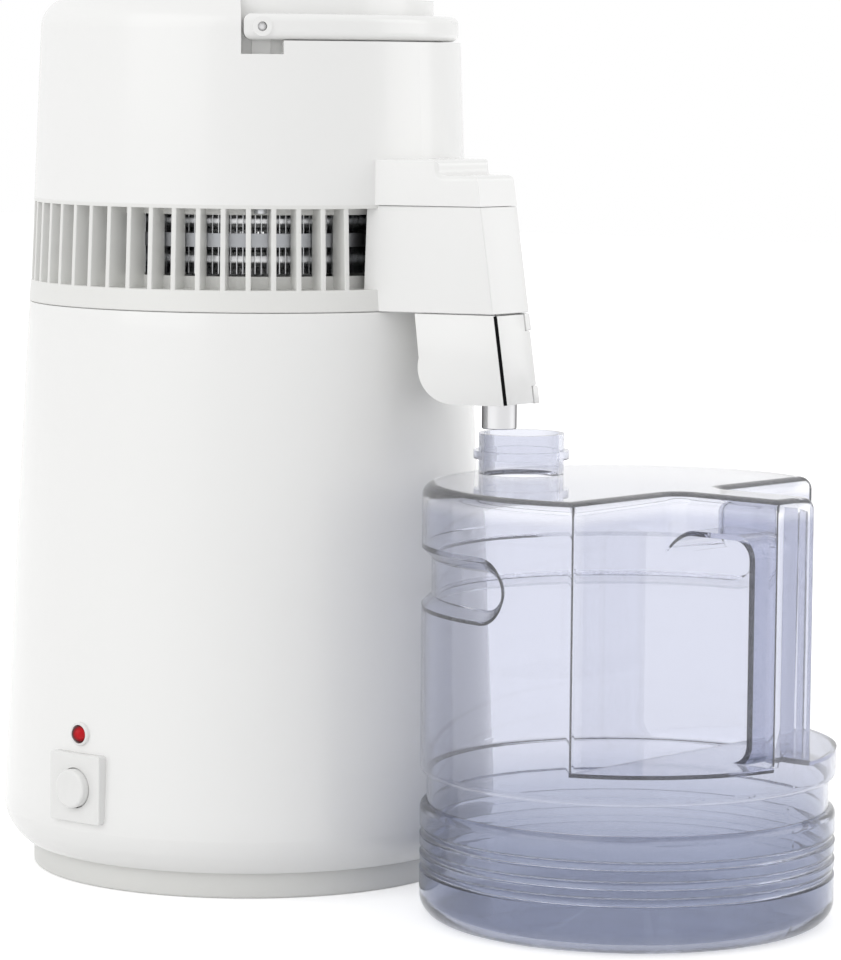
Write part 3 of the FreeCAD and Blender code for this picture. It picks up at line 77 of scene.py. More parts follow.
class Body(str, Enum):
    """The rigid bodies that pieces ride on."""

    BOILER = "boiler"
    BUTTON = "button"
    HEAD = "head"
    FAN = "fan"
    HANDLE = "handle"
    DOOR = "door"
    JUG = "jug"


class Slot(str, Enum):
    """The record's material slots."""

    HOUSING = "housing_white"
    FOOT = "foot_white"
    BUTTON = "button_white"
    VENT = "vent_white"
    LAMP = "lamp_red"
    DARK = "dark_plastic"
    CUP = "cup_plastic"
    FAN = "fan_plastic"
    JUG = "jug_clear"
    SILICONE = "silicone"
    SACHET = "sachet_fabric"
    CERAMIC = "ceramic"
    STAINLESS = "stainless"
    TUBE = "bright_tube"
    FINS = "fin_aluminium"
    ZINC = "zinc_steel"
    MOTOR = "motor_steel"


class Texture(Enum):
    """Surface patterns that a finish can carry."""

    GRAIN = "fine_grain"
    BRUSHED = "brushed_lines"


# --------------------------------------------------------------------------------------------------
# Nodes


class NodeSketch:
    """Adds nodes to a tree and joins them."""

    def __init__(self, tree: bpy.types.NodeTree) -> None:
        """Start a sketch of a tree."""
        self.tree = tree

    def add(self, kind: str, inputs: dict | None = None, **settings: object) -> bpy.types.Node:
        """Add one node.

        Args:
            kind: Blender's identifier of the node.
            inputs: Socket name or number to a value, or to the output socket that feeds it.
            **settings: Values of the node's own properties.

        Returns:
            The new node.
        """
        node = self.tree.nodes.new(kind)
        for key, value in settings.items():
            setattr(node, key, value)
        for key, value in (inputs or {}).items():
            self.feed(node.inputs[key], value)
        return node

    def feed(self, socket: bpy.types.NodeSocket, value: object) -> None:
        """Give an input socket a value or a link.

        Args:
            socket: The input socket.
            value: A plain value, or the output socket that feeds it.
        """
        if isinstance(value, bpy.types.NodeSocket):
            self.tree.links.new(value, socket)
        else:
            socket.default_value = value

    def math(self, operation: str, first: object, second: object = 0.0) -> bpy.types.NodeSocket:
        """Add a math node on two numbers or sockets and return its result."""
        return self.add("ShaderNodeMath", {0: first, 1: second}, operation=operation).outputs[0]

    def mix(self, mask: object, first: object, second: object) -> bpy.types.NodeSocket:
        """Add a blend from one colour to another.

        Args:
            mask: How far it goes to the second colour.
            first: The first colour, with its alpha, or the socket that gives it.
            second: The second colour.

        Returns:
            The blended colour.
        """
        node = self.add(
            "ShaderNodeMix",
            {0: mask, MIX_FIRST: first, MIX_SECOND: second},
            data_type="RGBA",
        )
        return node.outputs[MIX_RESULT]


def clean_sketch(owner: bpy.types.Material | bpy.types.World) -> NodeSketch:
    """Give a material or a world an empty node tree.

    Args:
        owner: The material or the world.

    Returns:
        The sketch of its tree.
    """
    owner.use_nodes = True
    owner.node_tree.nodes.clear()
    return NodeSketch(owner.node_tree)


def opaque(colour: Colour) -> tuple[float, float, float, float]:
    """A colour with full alpha."""
    return (*colour, 1.0)


class GroupSockets:
    def __init__(self, tree: bpy.types.NodeTree) -> None:
        """Start on a node group."""
        self.tree = tree

    def input(self, name: str, kind: str, default: object = None) -> None:
        """Add a named input.

        Args:
            name: The socket's name.
            kind: Blender's socket type, without its NodeSocket prefix.
            default: Its default value, if it has one.
        """
        socket = self.tree.interface.new_socket(name, in_out="INPUT", socket_type="NodeSocket" + kind)
        if default is not None:
            socket.default_value = default

    def output(self, name: str, kind: str) -> None:
        """Add a named output, of a socket type without its NodeSocket prefix."""
        self.tree.interface.new_socket(name, in_out="OUTPUT", socket_type="NodeSocket" + kind)


# --------------------------------------------------------------------------------------------------
# Geometry node trees


class ShapeTrees:
    """The geometry node trees that turn, repeat and thread shapes, each built once."""

    def __init__(self) -> None:
        """Build the three trees."""
        self.turned = self._turned_tree()
        self.repeated = self._repeated_tree()
        self.threaded = self._threaded_tree()

    @staticmethod
    def _start(name: str, inputs: Sequence[tuple[str, str, object]]) -> tuple[NodeSketch, bpy.types.Node]:
        """Create a tree with a geometry input and output and the given further inputs.

        Args:
            name: The tree's name.
            inputs: Name, socket type and default of each further input.

        Returns:
            The sketch and the group input node.
        """
        tree = bpy.data.node_groups.new(name, "GeometryNodeTree")
        sockets = GroupSockets(tree)
        sockets.input("Geometry", "Geometry")
        for socket_name, kind, default in inputs:
            sockets.input(socket_name, kind, default)
        sockets.input("Material", "Material")
        sockets.output("Geometry", "Geometry")
        sketch = NodeSketch(tree)
        return sketch, sketch.add("NodeGroupInput")

    @staticmethod
    def _end(
        sketch: NodeSketch,
        source: bpy.types.Node,
        geometry: bpy.types.NodeSocket,
    ) -> bpy.types.NodeTree:
        """Finish a tree: realize instances, shade smooth, set the material and output.

        Args:
            sketch: The tree's sketch.
            source: The group input node, which carries the material.
            geometry: The geometry to finish.

        Returns:
            The finished tree.
        """
        real = sketch.add("GeometryNodeRealizeInstances", {"Geometry": geometry})
        smooth = sketch.add("GeometryNodeSetShadeSmooth", {"Geometry": real.outputs[0]})
        dressed = sketch.add(
            "GeometryNodeSetMaterial",
            {"Geometry": smooth.outputs[0], "Material": source.outputs["Material"]},
        )
        sketch.add("NodeGroupOutput", {"Geometry": dressed.outputs[0]})
        return sketch.tree

    def _turned_tree(self) -> bpy.types.NodeTree:
        """Build the tree that turns a row of profile points about the Z axis.

        Returns:
            The tree. Point n of the incoming geometry is point n of the profile, in the XZ plane.
        """
        sketch, source = self._start("turned_form", [("Points", "Int", 2), ("Segments", "Int", 96)])
        columns = sketch.math("ADD", source.outputs["Segments"], 1.0)
        grid = sketch.add(
            "GeometryNodeMeshGrid",
            {"Size X": 1.0, "Size Y": 1.0, "Vertices X": source.outputs["Points"], "Vertices Y": columns},
        )
        here = sketch.add("GeometryNodeInputPosition").outputs[0]
        split = sketch.add("ShaderNodeSeparateXYZ", {0: here})
        last = sketch.math("SUBTRACT", source.outputs["Points"], 1.0)
        share = sketch.math("ADD", split.outputs["X"], 0.5)
        row = sketch.math("ROUND", sketch.math("MULTIPLY", share, last))
        angle = sketch.math("MULTIPLY", sketch.math("ADD", split.outputs["Y"], 0.5), math.tau)
        sample = sketch.add(
            "GeometryNodeSampleIndex",
            {"Geometry": source.outputs["Geometry"], "Index": row},
            data_type="FLOAT_VECTOR",
            domain="POINT",
        )
        sketch.feed(sample.inputs["Value"], here)
        profile = sketch.add("ShaderNodeSeparateXYZ", {0: sample.outputs[0]})
        across = sketch.math("MULTIPLY", profile.outputs["X"], sketch.math("COSINE", angle))
        along = sketch.math("MULTIPLY", profile.outputs["X"], sketch.math("SINE", angle))
        spot = sketch.add("ShaderNodeCombineXYZ", {"X": across, "Y": along, "Z": profile.outputs["Z"]})
        moved = sketch.add(
            "GeometryNodeSetPosition",
            {"Geometry": grid.outputs["Mesh"], "Position": spot.outputs[0]},
        )
        merged = sketch.add(
            "GeometryNodeMergeByDistance",
            {"Geometry": moved.outputs[0], "Distance": SEAM_DISTANCE},
        )
        flipped = sketch.add("GeometryNodeFlipFaces", {"Mesh": merged.outputs[0]})
        return self._end(sketch, source, flipped.outputs[0])

    def _repeated_tree(self) -> bpy.types.NodeTree:
        """Build the tree that repeats a shape round the Z axis, leaving out a sector about the +X axis.

        Returns:
            The tree.
        """
        angles = [("First", "Float", 0.0), ("Step", "Float", 0.1), ("Left out", "Float", 0.0)]
        sketch, source = self._start("repeated_round", [("Count", "Int", 8)] + angles)
        points = sketch.add("GeometryNodePoints", {"Count": source.outputs["Count"]})
        index = sketch.add("GeometryNodeInputIndex").outputs[0]
        turned = sketch.math("MULTIPLY", index, source.outputs["Step"])
        angle = sketch.math("ADD", turned, source.outputs["First"])
        facing = sketch.math("COSINE", angle)
        limit = sketch.math("COSINE", source.outputs["Left out"])
        closed = sketch.math("GREATER_THAN", facing, limit)
        kept = sketch.math("SUBTRACT", 1.0, closed)
        turn = sketch.add("ShaderNodeCombineXYZ", {"Z": angle})
        placed = sketch.add(
            "GeometryNodeInstanceOnPoints",
            {
                "Points": points.outputs[0],
                "Selection": kept,
                "Instance": source.outputs["Geometry"],
                "Rotation": turn.outputs[0],
            },
        )
        return self._end(sketch, source, placed.outputs[0])

    def _threaded_tree(self) -> bpy.types.NodeTree:
        """Build the tree that threads a round tube along a row of points.

        Returns:
            The tree.
        """
        inputs = [("Radius", "Float", 0.001), ("Sides", "Int", 12)]
        sketch, source = self._start("threaded_tube", inputs)
        path = sketch.add("GeometryNodeMeshToCurve", {"Mesh": source.outputs["Geometry"]})
        section = sketch.add(
            "GeometryNodeCurvePrimitiveCircle",
            {"Resolution": source.outputs["Sides"], "Radius": source.outputs["Radius"]},
        )
        tube = sketch.add(
            "GeometryNodeCurveToMesh",
            {"Curve": path.outputs[0], "Profile Curve": section.outputs[0], "Fill Caps": True},
        )
        return self._end(sketch, source, tube.outputs[0])


# --------------------------------------------------------------------------------------------------
# Meshes


def arc(centre: Point2, radius: float, start: float, end: float, steps: int = 6) -> list[Point2]:
    """Points along a circular arc in a plane.

    Args:
        centre: The arc's centre.
        radius: Its radius.
        start: Its first angle, in degrees.
        end: Its last angle.
        steps: How many spans it has.

    Returns:
        The points, both ends included.
    """
    points = []
    for n in range(steps + 1):
        angle = math.radians(start + (end - start) * n / steps)
        points.append((centre[0] + radius * math.cos(angle), centre[1] + radius * math.sin(angle)))
    return points


def arc_through(start: Point2, middle: Point2, end: Point2, steps: int = 6) -> list[Point2]:
    """Points along the circular arc through three points.

    Args:
        start: The first point.
        middle: A point on the way.
        end: The last point.
        steps: How many spans it has.

    Returns:
        The points, both ends included.
    """
    (ax, ay), (bx, by), (cx, cy) = start, middle, end
    double = 2 * (ax * (by - cy) + bx * (cy - ay) + cx * (ay - by))
    a, b, c = ax * ax + ay * ay, bx * bx + by * by, cx * cx + cy * cy
    x = (a * (by - cy) + b * (cy - ay) + c * (ay - by)) / double
    y = (a * (cx - bx) + b * (ax - cx) + c * (bx - ax)) / double
    first = math.degrees(math.atan2(ay - y, ax - x))
    last = math.degrees(math.atan2(cy - y, cx - x))
    return arc((x, y), math.hypot(ax - x, ay - y), first, last, steps)


def soft_corner(
    before: Point2,
    corner: Point2,
    after: Point2,
    radius: float,
    steps: int = 3,
) -> list[Point2]:
    """Points that round a corner of an outline.

    Args:
        before: A point on the way in.
        corner: The sharp corner.
        after: A point on the way out.
        radius: How far from the corner the rounding starts.
        steps: How many spans it has.

    Returns:
        The points of the rounded corner.
    """
    middle = Vector(corner)
    first = middle + (Vector(before) - middle).normalized() * radius
    last = middle + (Vector(after) - middle).normalized() * radius
    points = []
    for n in range(steps + 1):
        share = n / steps
        spot = first * (1 - share) ** 2 + middle * 2 * share * (1 - share) + last * share ** 2
        points.append((spot.x, spot.y))
    return points


def rounded_outline(corners: Sequence[Point3], steps: int = 3) -> list[Point2]:
    """A closed outline with rounded corners.

    Args:
        corners: Each corner's two coordinates and its rounding; zero keeps it sharp.
        steps: How many spans each rounding has.

    Returns:
        The outline's points.
    """
    points: list[Point2] = []
    count = len(corners)
    for n, (x, y, radius) in enumerate(corners):
        before = corners[n - 1][:2]
        after = corners[(n + 1) % count][:2]
        if radius:
            points += soft_corner(before, (x, y), after, radius, steps)
        else:
            points.append((x, y))
    return points


def mesh_object(
    name: str,
    points: Sequence[Point3],
    faces: Sequence[Sequence[int]],
    edges: Sequence[tuple[int, int]] = (),
) -> bpy.types.Object:
    """Make an object from points in millimetres.

    Args:
        name: The object's name.
        points: Its points.
        faces: Its faces, as point numbers.
        edges: Its loose edges.

    Returns:
        The object, in the scene and at the origin.
    """
    mesh = bpy.data.meshes.new(name)
    mesh.from_pydata([tuple(c * MM for c in p) for p in points], list(edges), list(faces))
    mesh.validate()
    made = bpy.data.objects.new(name, mesh)
    bpy.context.scene.collection.objects.link(made)
    return made


def loft(name: str, rings: Sequence[Sequence[Point3]]) -> bpy.types.Object:
    """Join rings of points into a closed skin.

    Args:
        name: The object's name.
        rings: Rings with the same number of points, each going round counterclockwise seen from the last.

    Returns:
        The object.
    """
    size = len(rings[0])
    points = [p for ring in rings for p in ring]
    faces = []
    for low in range(0, len(points) - size, size):
        high = low + size
        for m in range(size):
            k = (m + 1) % size
            faces.append((low + m, low + k, high + k, high + m))
    faces.append(tuple(reversed(range(size))))
    faces.append(tuple(range(len(points) - size, len(points))))
    return mesh_object(name, points, faces)


def prism(name: str, outline: Sequence[Point2], low: float, high: float) -> bpy.types.Object:
    """Raise an outline that goes round counterclockwise into an upright prism between two heights."""
    return loft(name, [[(x, y, height) for x, y in outline] for height in (low, high)])


def set_input(modifier: bpy.types.NodesModifier, name: str, value: object) -> None:
    """Set a geometry nodes modifier's input by its socket's identifier.

    Args:
        modifier: The modifier.
        name: The socket's name.
        value: The value.
    """
    for item in modifier.node_group.interface.items_tree:
        if item.item_type == "SOCKET" and item.in_out == "INPUT" and item.name == name:
            modifier[item.identifier] = value
            return
    raise KeyError(name)


def settle(made: bpy.types.Object) -> bpy.types.Object:
    """Replace an object's mesh by its evaluated one and take its modifiers off.

    Args:
        made: The object.

    Returns:
        The same object, with a plain mesh.
    """
    bpy.context.view_layer.update()
    evaluated = made.evaluated_get(bpy.context.evaluated_depsgraph_get())
    mesh = bpy.data.meshes.new_from_object(evaluated)
    mesh.name = made.name
    made.modifiers.clear()
    made.data = mesh
    return made


def shade(made: bpy.types.Object, angle: float = SMOOTH_ANGLE) -> bpy.types.Object:
    """Shade an object smooth, with edges sharper than an angle kept crisp.

    Args:
        made: The object.
        angle: The angle, in radians.

    Returns:
        The same object.
    """
    made.data.shade_smooth()
    made.data.set_sharp_from_angle(angle=angle)
    return made


def place(made: bpy.types.Object, matrix: Matrix) -> bpy.types.Object:
    """Move an object's mesh, so that the object stays at the origin.

    Args:
        made: The object.
        matrix: The move, in metres.

    Returns:
        The same object.
    """
    made.data.transform(matrix)
    made.data.update()
    return made


def bevel(made: bpy.types.Object, width: float, segments: int = 2, angle: float = 35.0) -> bpy.types.Object:
    """Round an object's sharp edges.

    Args:
        made: The object.
        width: The width, in millimetres.
        segments: How many spans the rounding has.
        angle: Edges sharper than this, in degrees, are rounded.

    Returns:
        The same object, its modifier applied.
    """
    modifier = made.modifiers.new("soft_edges", "BEVEL")
    modifier.width = width * MM
    modifier.segments = segments
    modifier.limit_method = "ANGLE"
    modifier.angle_limit = math.radians(angle)
    modifier.harden_normals = False
    modifier.use_clamp_overlap = True
    return settle(made)


def carve(made: bpy.types.Object, cutters: Iterable[bpy.types.Object]) -> bpy.types.Object:
    """Cut shapes out of an object and delete them.

    Args:
        made: The object.
        cutters: The shapes.

    Returns:
        The same object.
    """
    cutters = list(cutters)
    for cutter in cutters:
        modifier = made.modifiers.new("cut", "BOOLEAN")
        modifier.operation = "DIFFERENCE"
        modifier.solver = "EXACT"
        modifier.object = cutter
    settle(made)
    for cutter in cutters:
        bpy.data.objects.remove(cutter)
    return made


def azimuth(degrees: float) -> Matrix:
    """A turn about the Z axis, in degrees."""
    return Matrix.Rotation(math.radians(degrees), 4, "Z")


def outward(degrees: float, height: float) -> Matrix:
    """A frame at a height, in millimetres, whose Z axis points away from the main axis."""
    lift = Matrix.Translation((0, 0, height * MM))
    return lift @ azimuth(degrees) @ Matrix.Rotation(math.radians(90), 4, "Y")


class Maker:
    """Makes, dresses and registers pieces."""

    def __init__(self, trees: ShapeTrees) -> None:
        """Start a maker that uses the geometry node trees."""
        self.trees = trees
        self.count = 0

    @staticmethod
    def run(
        made: bpy.types.Object,
        tree: bpy.types.NodeTree,
        finish: "Finish",
        inputs: dict[str, object],
    ) -> bpy.types.Object:
        """Run a geometry node tree on an object and keep the result as its mesh.

        Args:
            made: The object.
            tree: The tree.
            finish: The finish that the tree gives it.
            inputs: Name and value of each of the tree's inputs.

        Returns:
            The same object.
        """
        modifier = made.modifiers.new(tree.name, "NODES")
        modifier.node_group = tree
        for name, value in inputs.items():
            set_input(modifier, name, value)
        set_input(modifier, "Material", finish.material())
        return settle(made)

    def turned(
        self,
        name: str,
        profile: Sequence[Point2],
        finish: "Finish",
        segments: int = 160,
        matrix: Matrix | None = None,
    ) -> bpy.types.Object:
        """Turn a profile about the Z axis.

        Args:
            name: The piece's name.
            profile: Radius and height of each point, with the solid on the left of the way round.
            finish: Its finish.
            segments: How many steps go round.
            matrix: Where the turned form goes, if not on the main axis.

        Returns:
            The piece.
        """
        edges = [(n, n + 1) for n in range(len(profile) - 1)]
        made = mesh_object(name, [(r, 0.0, z) for r, z in profile], [], edges)
        self.run(made, self.trees.turned, finish, {"Points": len(profile), "Segments": segments})
        if matrix is not None:
            place(made, matrix)
        return shade(made)

    def closed_turn(
        self,
        name: str,
        outline: Sequence[Point2],
        finish: "Finish",
        segments: int = 160,
        matrix: Matrix | None = None,
    ) -> bpy.types.Object:
        """Turn a closed outline that stays clear of the axis, as turned() does."""
        return self.turned(name, list(outline) + [outline[0]], finish, segments, matrix)

    def repeated(
        self,
        made: bpy.types.Object,
        finish: "Finish",
        count: int,
        first: float = 0.0,
        left_out: float = 0.0,
    ) -> bpy.types.Object:
        """Repeat a shape evenly round the Z axis.

        Args:
            made: The shape, which becomes the whole row.
            finish: Its finish.
            count: How many there would be in a full round.
            first: The first one's angle, in degrees.
            left_out: Half of the sector about +X that stays empty, in degrees.

        Returns:
            The same object.
        """
        inputs = {
            "Count": count,
            "First": math.radians(first),
            "Step": math.tau / count,
            "Left out": math.radians(left_out),
        }
        return shade(self.run(made, self.trees.repeated, finish, inputs))

    def tube(
        self,
        name: str,
        path: Sequence[Point3],
        radius: float,
        finish: "Finish",
        sides: int = 16,
        loop: bool = False,
    ) -> bpy.types.Object:
        """Thread a round tube along a path.

        Args:
            name: The piece's name.
            path: The path's points.
            radius: The tube's radius.
            finish: Its finish.
            sides: How many sides it has.
            loop: Whether the path closes on itself.

        Returns:
            The piece.
        """
        edges = [(n, n + 1) for n in range(len(path) - 1)]
        if loop:
            edges.append((len(path) - 1, 0))
        made = mesh_object(name, path, [], edges)
        return shade(self.run(made, self.trees.threaded, finish, {"Radius": radius * MM, "Sides": sides}))

    def copied(self, node: str, finish: "Finish", width: float) -> bpy.types.Object:
        """Copy a node's mesh, merge it and soften its edges.

        Args:
            node: The node.
            finish: Its finish.
            width: The width of its soft edges, in millimetres.

        Returns:
            The piece, still to be registered.
        """
        mesh = bpy.data.objects[node].data.copy()
        made = bpy.data.objects.new(node + "_moulded", mesh)
        bpy.context.scene.collection.objects.link(made)
        mesh.transform(bpy.data.objects[node].matrix_world)
        weld = made.modifiers.new("weld", "WELD")
        weld.merge_threshold = WELD_DISTANCE
        settle(made)
        flat = made.modifiers.new("flat", "DECIMATE")
        flat.decimate_type = "DISSOLVE"
        flat.angle_limit = FLAT_ANGLE
        settle(made)
        return shade(self.dress(bevel(made, width), finish))

    def finished(self, node: str, finish: "Finish") -> None:
        """Give a node of the model its finish and leave its mesh alone.

        Args:
            node: The node.
            finish: Its finish.
        """
        for slot in bpy.data.objects[node].material_slots:
            slot.material = finish.material()
        self.count += 1
        LOG.info("%s: finished in %s", node, finish.name)

    @staticmethod
    def dress(made: bpy.types.Object, finish: "Finish") -> bpy.types.Object:
        """Give an object one finish all over.

        Args:
            made: The object.
            finish: The finish.

        Returns:
            The same object.
        """
        made.data.materials.clear()
        made.data.materials.append(finish.material())
        for polygon in made.data.polygons:
            polygon.material_index = 0
        return made

    def register(self, made: bpy.types.Object, body: Body, slot: Slot, *nodes: str) -> None:
        """Ride a piece on its body and hide the nodes that it stands for.

        Args:
            made: The piece.
            body: Its body.
            slot: The record's material slot; not used.
            *nodes: The nodes that it stands for.
        """
        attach(made, body.value)
        if nodes:
            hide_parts(*nodes)
        self.count += 1
        LOG.info("%s: %d faces on %s", made.name, len(made.data.polygons), body.value)


# --------------------------------------------------------------------------------------------------
# Finishes


class ShaderGroups:
    """Shader node groups that several finishes share, each built once."""

    FINE_DETAIL = 3.0
    SLOW_DETAIL = 1.0
    SLOW_SHARE = 0.012                   # scale of the slow drift, as a share of the grain's
    LINE_DETAIL = 4.0
    LINE_STRETCH = (0.02, 0.02, 1.0)     # the lines run level, so they are coarse along X and Y
    _made: dict[Texture, bpy.types.NodeTree] = {}

    @classmethod
    def get(cls, texture: Texture) -> bpy.types.NodeTree:
        """Return a texture's group.

        Args:
            texture: The texture.

        Returns:
            Its node group, with Vector and Scale inputs, and Tone and Height outputs.
        """
        if texture not in cls._made:
            build = {Texture.GRAIN: cls._grain, Texture.BRUSHED: cls._brushed}[texture]
            cls._made[texture] = build(texture.value)
        return cls._made[texture]

    @staticmethod
    def _start(name: str) -> tuple[NodeSketch, bpy.types.Node]:
        """Create a group with the sockets that every texture has.

        Args:
            name: Its name.

        Returns:
            The sketch and the group input node.
        """
        tree = bpy.data.node_groups.new(name, "ShaderNodeTree")
        sockets = GroupSockets(tree)
        sockets.input("Vector", "Vector")
        sockets.input("Scale", "Float", 1.0)
        sockets.output("Tone", "Float")
        sockets.output("Height", "Float")
        sketch = NodeSketch(tree)
        return sketch, sketch.add("NodeGroupInput")

    @classmethod
    def _grain(cls, name: str) -> bpy.types.NodeTree:
        """Build the fine, even grain of a moulding, under a slow drift of tone.

        Args:
            name: The group's name.

        Returns:
            The group.
        """
        sketch, source = cls._start(name)
        vector, scale = source.outputs["Vector"], source.outputs["Scale"]
        fine = sketch.add(
            "ShaderNodeTexNoise",
            {"Vector": vector, "Scale": scale, "Detail": cls.FINE_DETAIL},
        )
        slow_scale = sketch.math("MULTIPLY", scale, cls.SLOW_SHARE)
        slow = sketch.add(
            "ShaderNodeTexNoise",
            {"Vector": vector, "Scale": slow_scale, "Detail": cls.SLOW_DETAIL},
        )
        tone = sketch.math("MULTIPLY", sketch.math("ADD", fine.outputs[0], slow.outputs[0]), 0.5)
        sketch.add("NodeGroupOutput", {"Tone": tone, "Height": fine.outputs[0]})
        return sketch.tree

    @classmethod
    def _brushed(cls, name: str) -> bpy.types.NodeTree:
        """Build the level drawing lines of sheet metal.

        Args:
            name: The group's name.

        Returns:
            The group.
        """
        sketch, source = cls._start(name)
        stretched = sketch.add(
            "ShaderNodeMapping",
            {"Vector": source.outputs["Vector"], "Scale": cls.LINE_STRETCH},
        )
        lines = sketch.add(
            "ShaderNodeTexNoise",
            {"Vector": stretched.outputs[0], "Scale": source.outputs["Scale"], "Detail": cls.LINE_DETAIL},
        )
        sketch.add("NodeGroupOutput", {"Tone": lines.outputs[0], "Height": lines.outputs[0]})
        return sketch.tree


@dataclass(frozen=True)
class Finish:
    """A finish with one base colour and a fine texture.

    Attributes:
        name: The material's name.
        colour: The base colour, linear.
        roughness: Its middle roughness.
        texture: The pattern that varies it.
        scale: The pattern's scale, in repeats per metre.
        drift: How far the colour and roughness stray with the pattern.
        depth: The bump's height, in millimetres.
        metallic: 1 for bare metal.
        coat: The weight of a clear gloss on top.
        coat_roughness: The roughness of that gloss.
        specular: The level of its highlights, 0.5 for plain plastic.
    """

    name: str
    colour: Colour
    roughness: float
    texture: Texture = Texture.GRAIN
    scale: float = 1400.0
    drift: float = 0.03
    depth: float = 0.02
    metallic: float = 0.0
    coat: float = 0.0
    coat_roughness: float = 0.08
    specular: float = 0.5

    def material(self) -> bpy.types.Material:
        """Build the material, the first time that it is asked for.

        Returns:
            The material.
        """
        material = bpy.data.materials.get(self.name)
        if material is None:
            material = bpy.data.materials.new(self.name)
            self.build(clean_sketch(material))
        return material

    def build(self, sketch: NodeSketch) -> bpy.types.Node:
        """Add the nodes of the material.

        Args:
            sketch: The material's sketch.

        Returns:
            The surface shader.
        """
        group = sketch.add(
            "ShaderNodeGroup",
            {"Vector": sketch.add("ShaderNodeTexCoord").outputs["Object"], "Scale": self.scale},
            node_tree=ShaderGroups.get(self.texture),
        )
        tone = group.outputs["Tone"]
        low = tuple(c * (1 - self.drift) for c in self.colour)
        high = tuple(min(1.0, c * (1 + self.drift)) for c in self.colour)
        rough = sketch.add(
            "ShaderNodeMapRange",
            {
                "Value": tone,
                "To Min": max(0.0, self.roughness - self.drift),
                "To Max": min(1.0, self.roughness + self.drift),
            },
        )
        bump = sketch.add(
            "ShaderNodeBump",
            {"Height": group.outputs["Height"], "Strength": 1.0, "Distance": self.depth * MM},
        )
        shader = sketch.add(
            "ShaderNodeBsdfPrincipled",
            {
                "Base Color": sketch.mix(tone, opaque(low), opaque(high)),
                "Metallic": self.metallic,
                "Roughness": rough.outputs[0],
                "Normal": bump.outputs[0],
                "Specular IOR Level": self.specular,
                "Coat Weight": self.coat,
                "Coat Roughness": self.coat_roughness,
            },
        )
        sketch.add("ShaderNodeOutputMaterial", {"Surface": shader.outputs[0]})
        return shader


def rim_shade_mask(sketch: NodeSketch, weight: float, span: Point2) -> bpy.types.NodeSocket:
    """Add a mask of where a surface is seen edge on, which places painted shade along edges.

    Args:
        sketch: The material's sketch.
        weight: The mask's value at the very edge.
        span: Where it sets in and is full, from 0 for a surface seen squarely to 1 for its edge.

    Returns:
        The mask.
    """
    rim = sketch.add("ShaderNodeLayerWeight", {"Blend": 0.5})
    start, end = span
    share = sketch.add(
        "ShaderNodeMapRange",
        {"Value": rim.outputs["Facing"], "From Min": start, "From Max": end, "To Max": weight},
    )
    return share.outputs[0]


def blend_base(
    sketch: NodeSketch,
    shader: bpy.types.Node,
    mask: bpy.types.NodeSocket,
    colour: Colour,
) -> None:
    """Blend the linked base colour of a surface shader towards another colour, by a mask."""
    socket = shader.inputs["Base Color"]
    sketch.feed(socket, sketch.mix(mask, socket.links[0].from_socket, opaque(colour)))


@dataclass(frozen=True)
class PolishedMetal(Finish):
    """Mirror-bright metal whose reflection takes another tint at a glancing angle, set black to paint dark
    reflections along its rims.

    Attributes:
        painted_rim_reflection: That tint, a painted dark reflection.
    """

    painted_rim_reflection: Colour = (0.0, 0.0, 0.0)

    def build(self, sketch: NodeSketch) -> bpy.types.Node:
        """Add the nodes of the material.

        Args:
            sketch: The material's sketch.

        Returns:
            The surface shader.
        """
        shader = super().build(sketch)
        # painted reflection: the glancing tint darkens the metal's rims
        shader.inputs["Specular Tint"].default_value = opaque(self.painted_rim_reflection)
        return shader


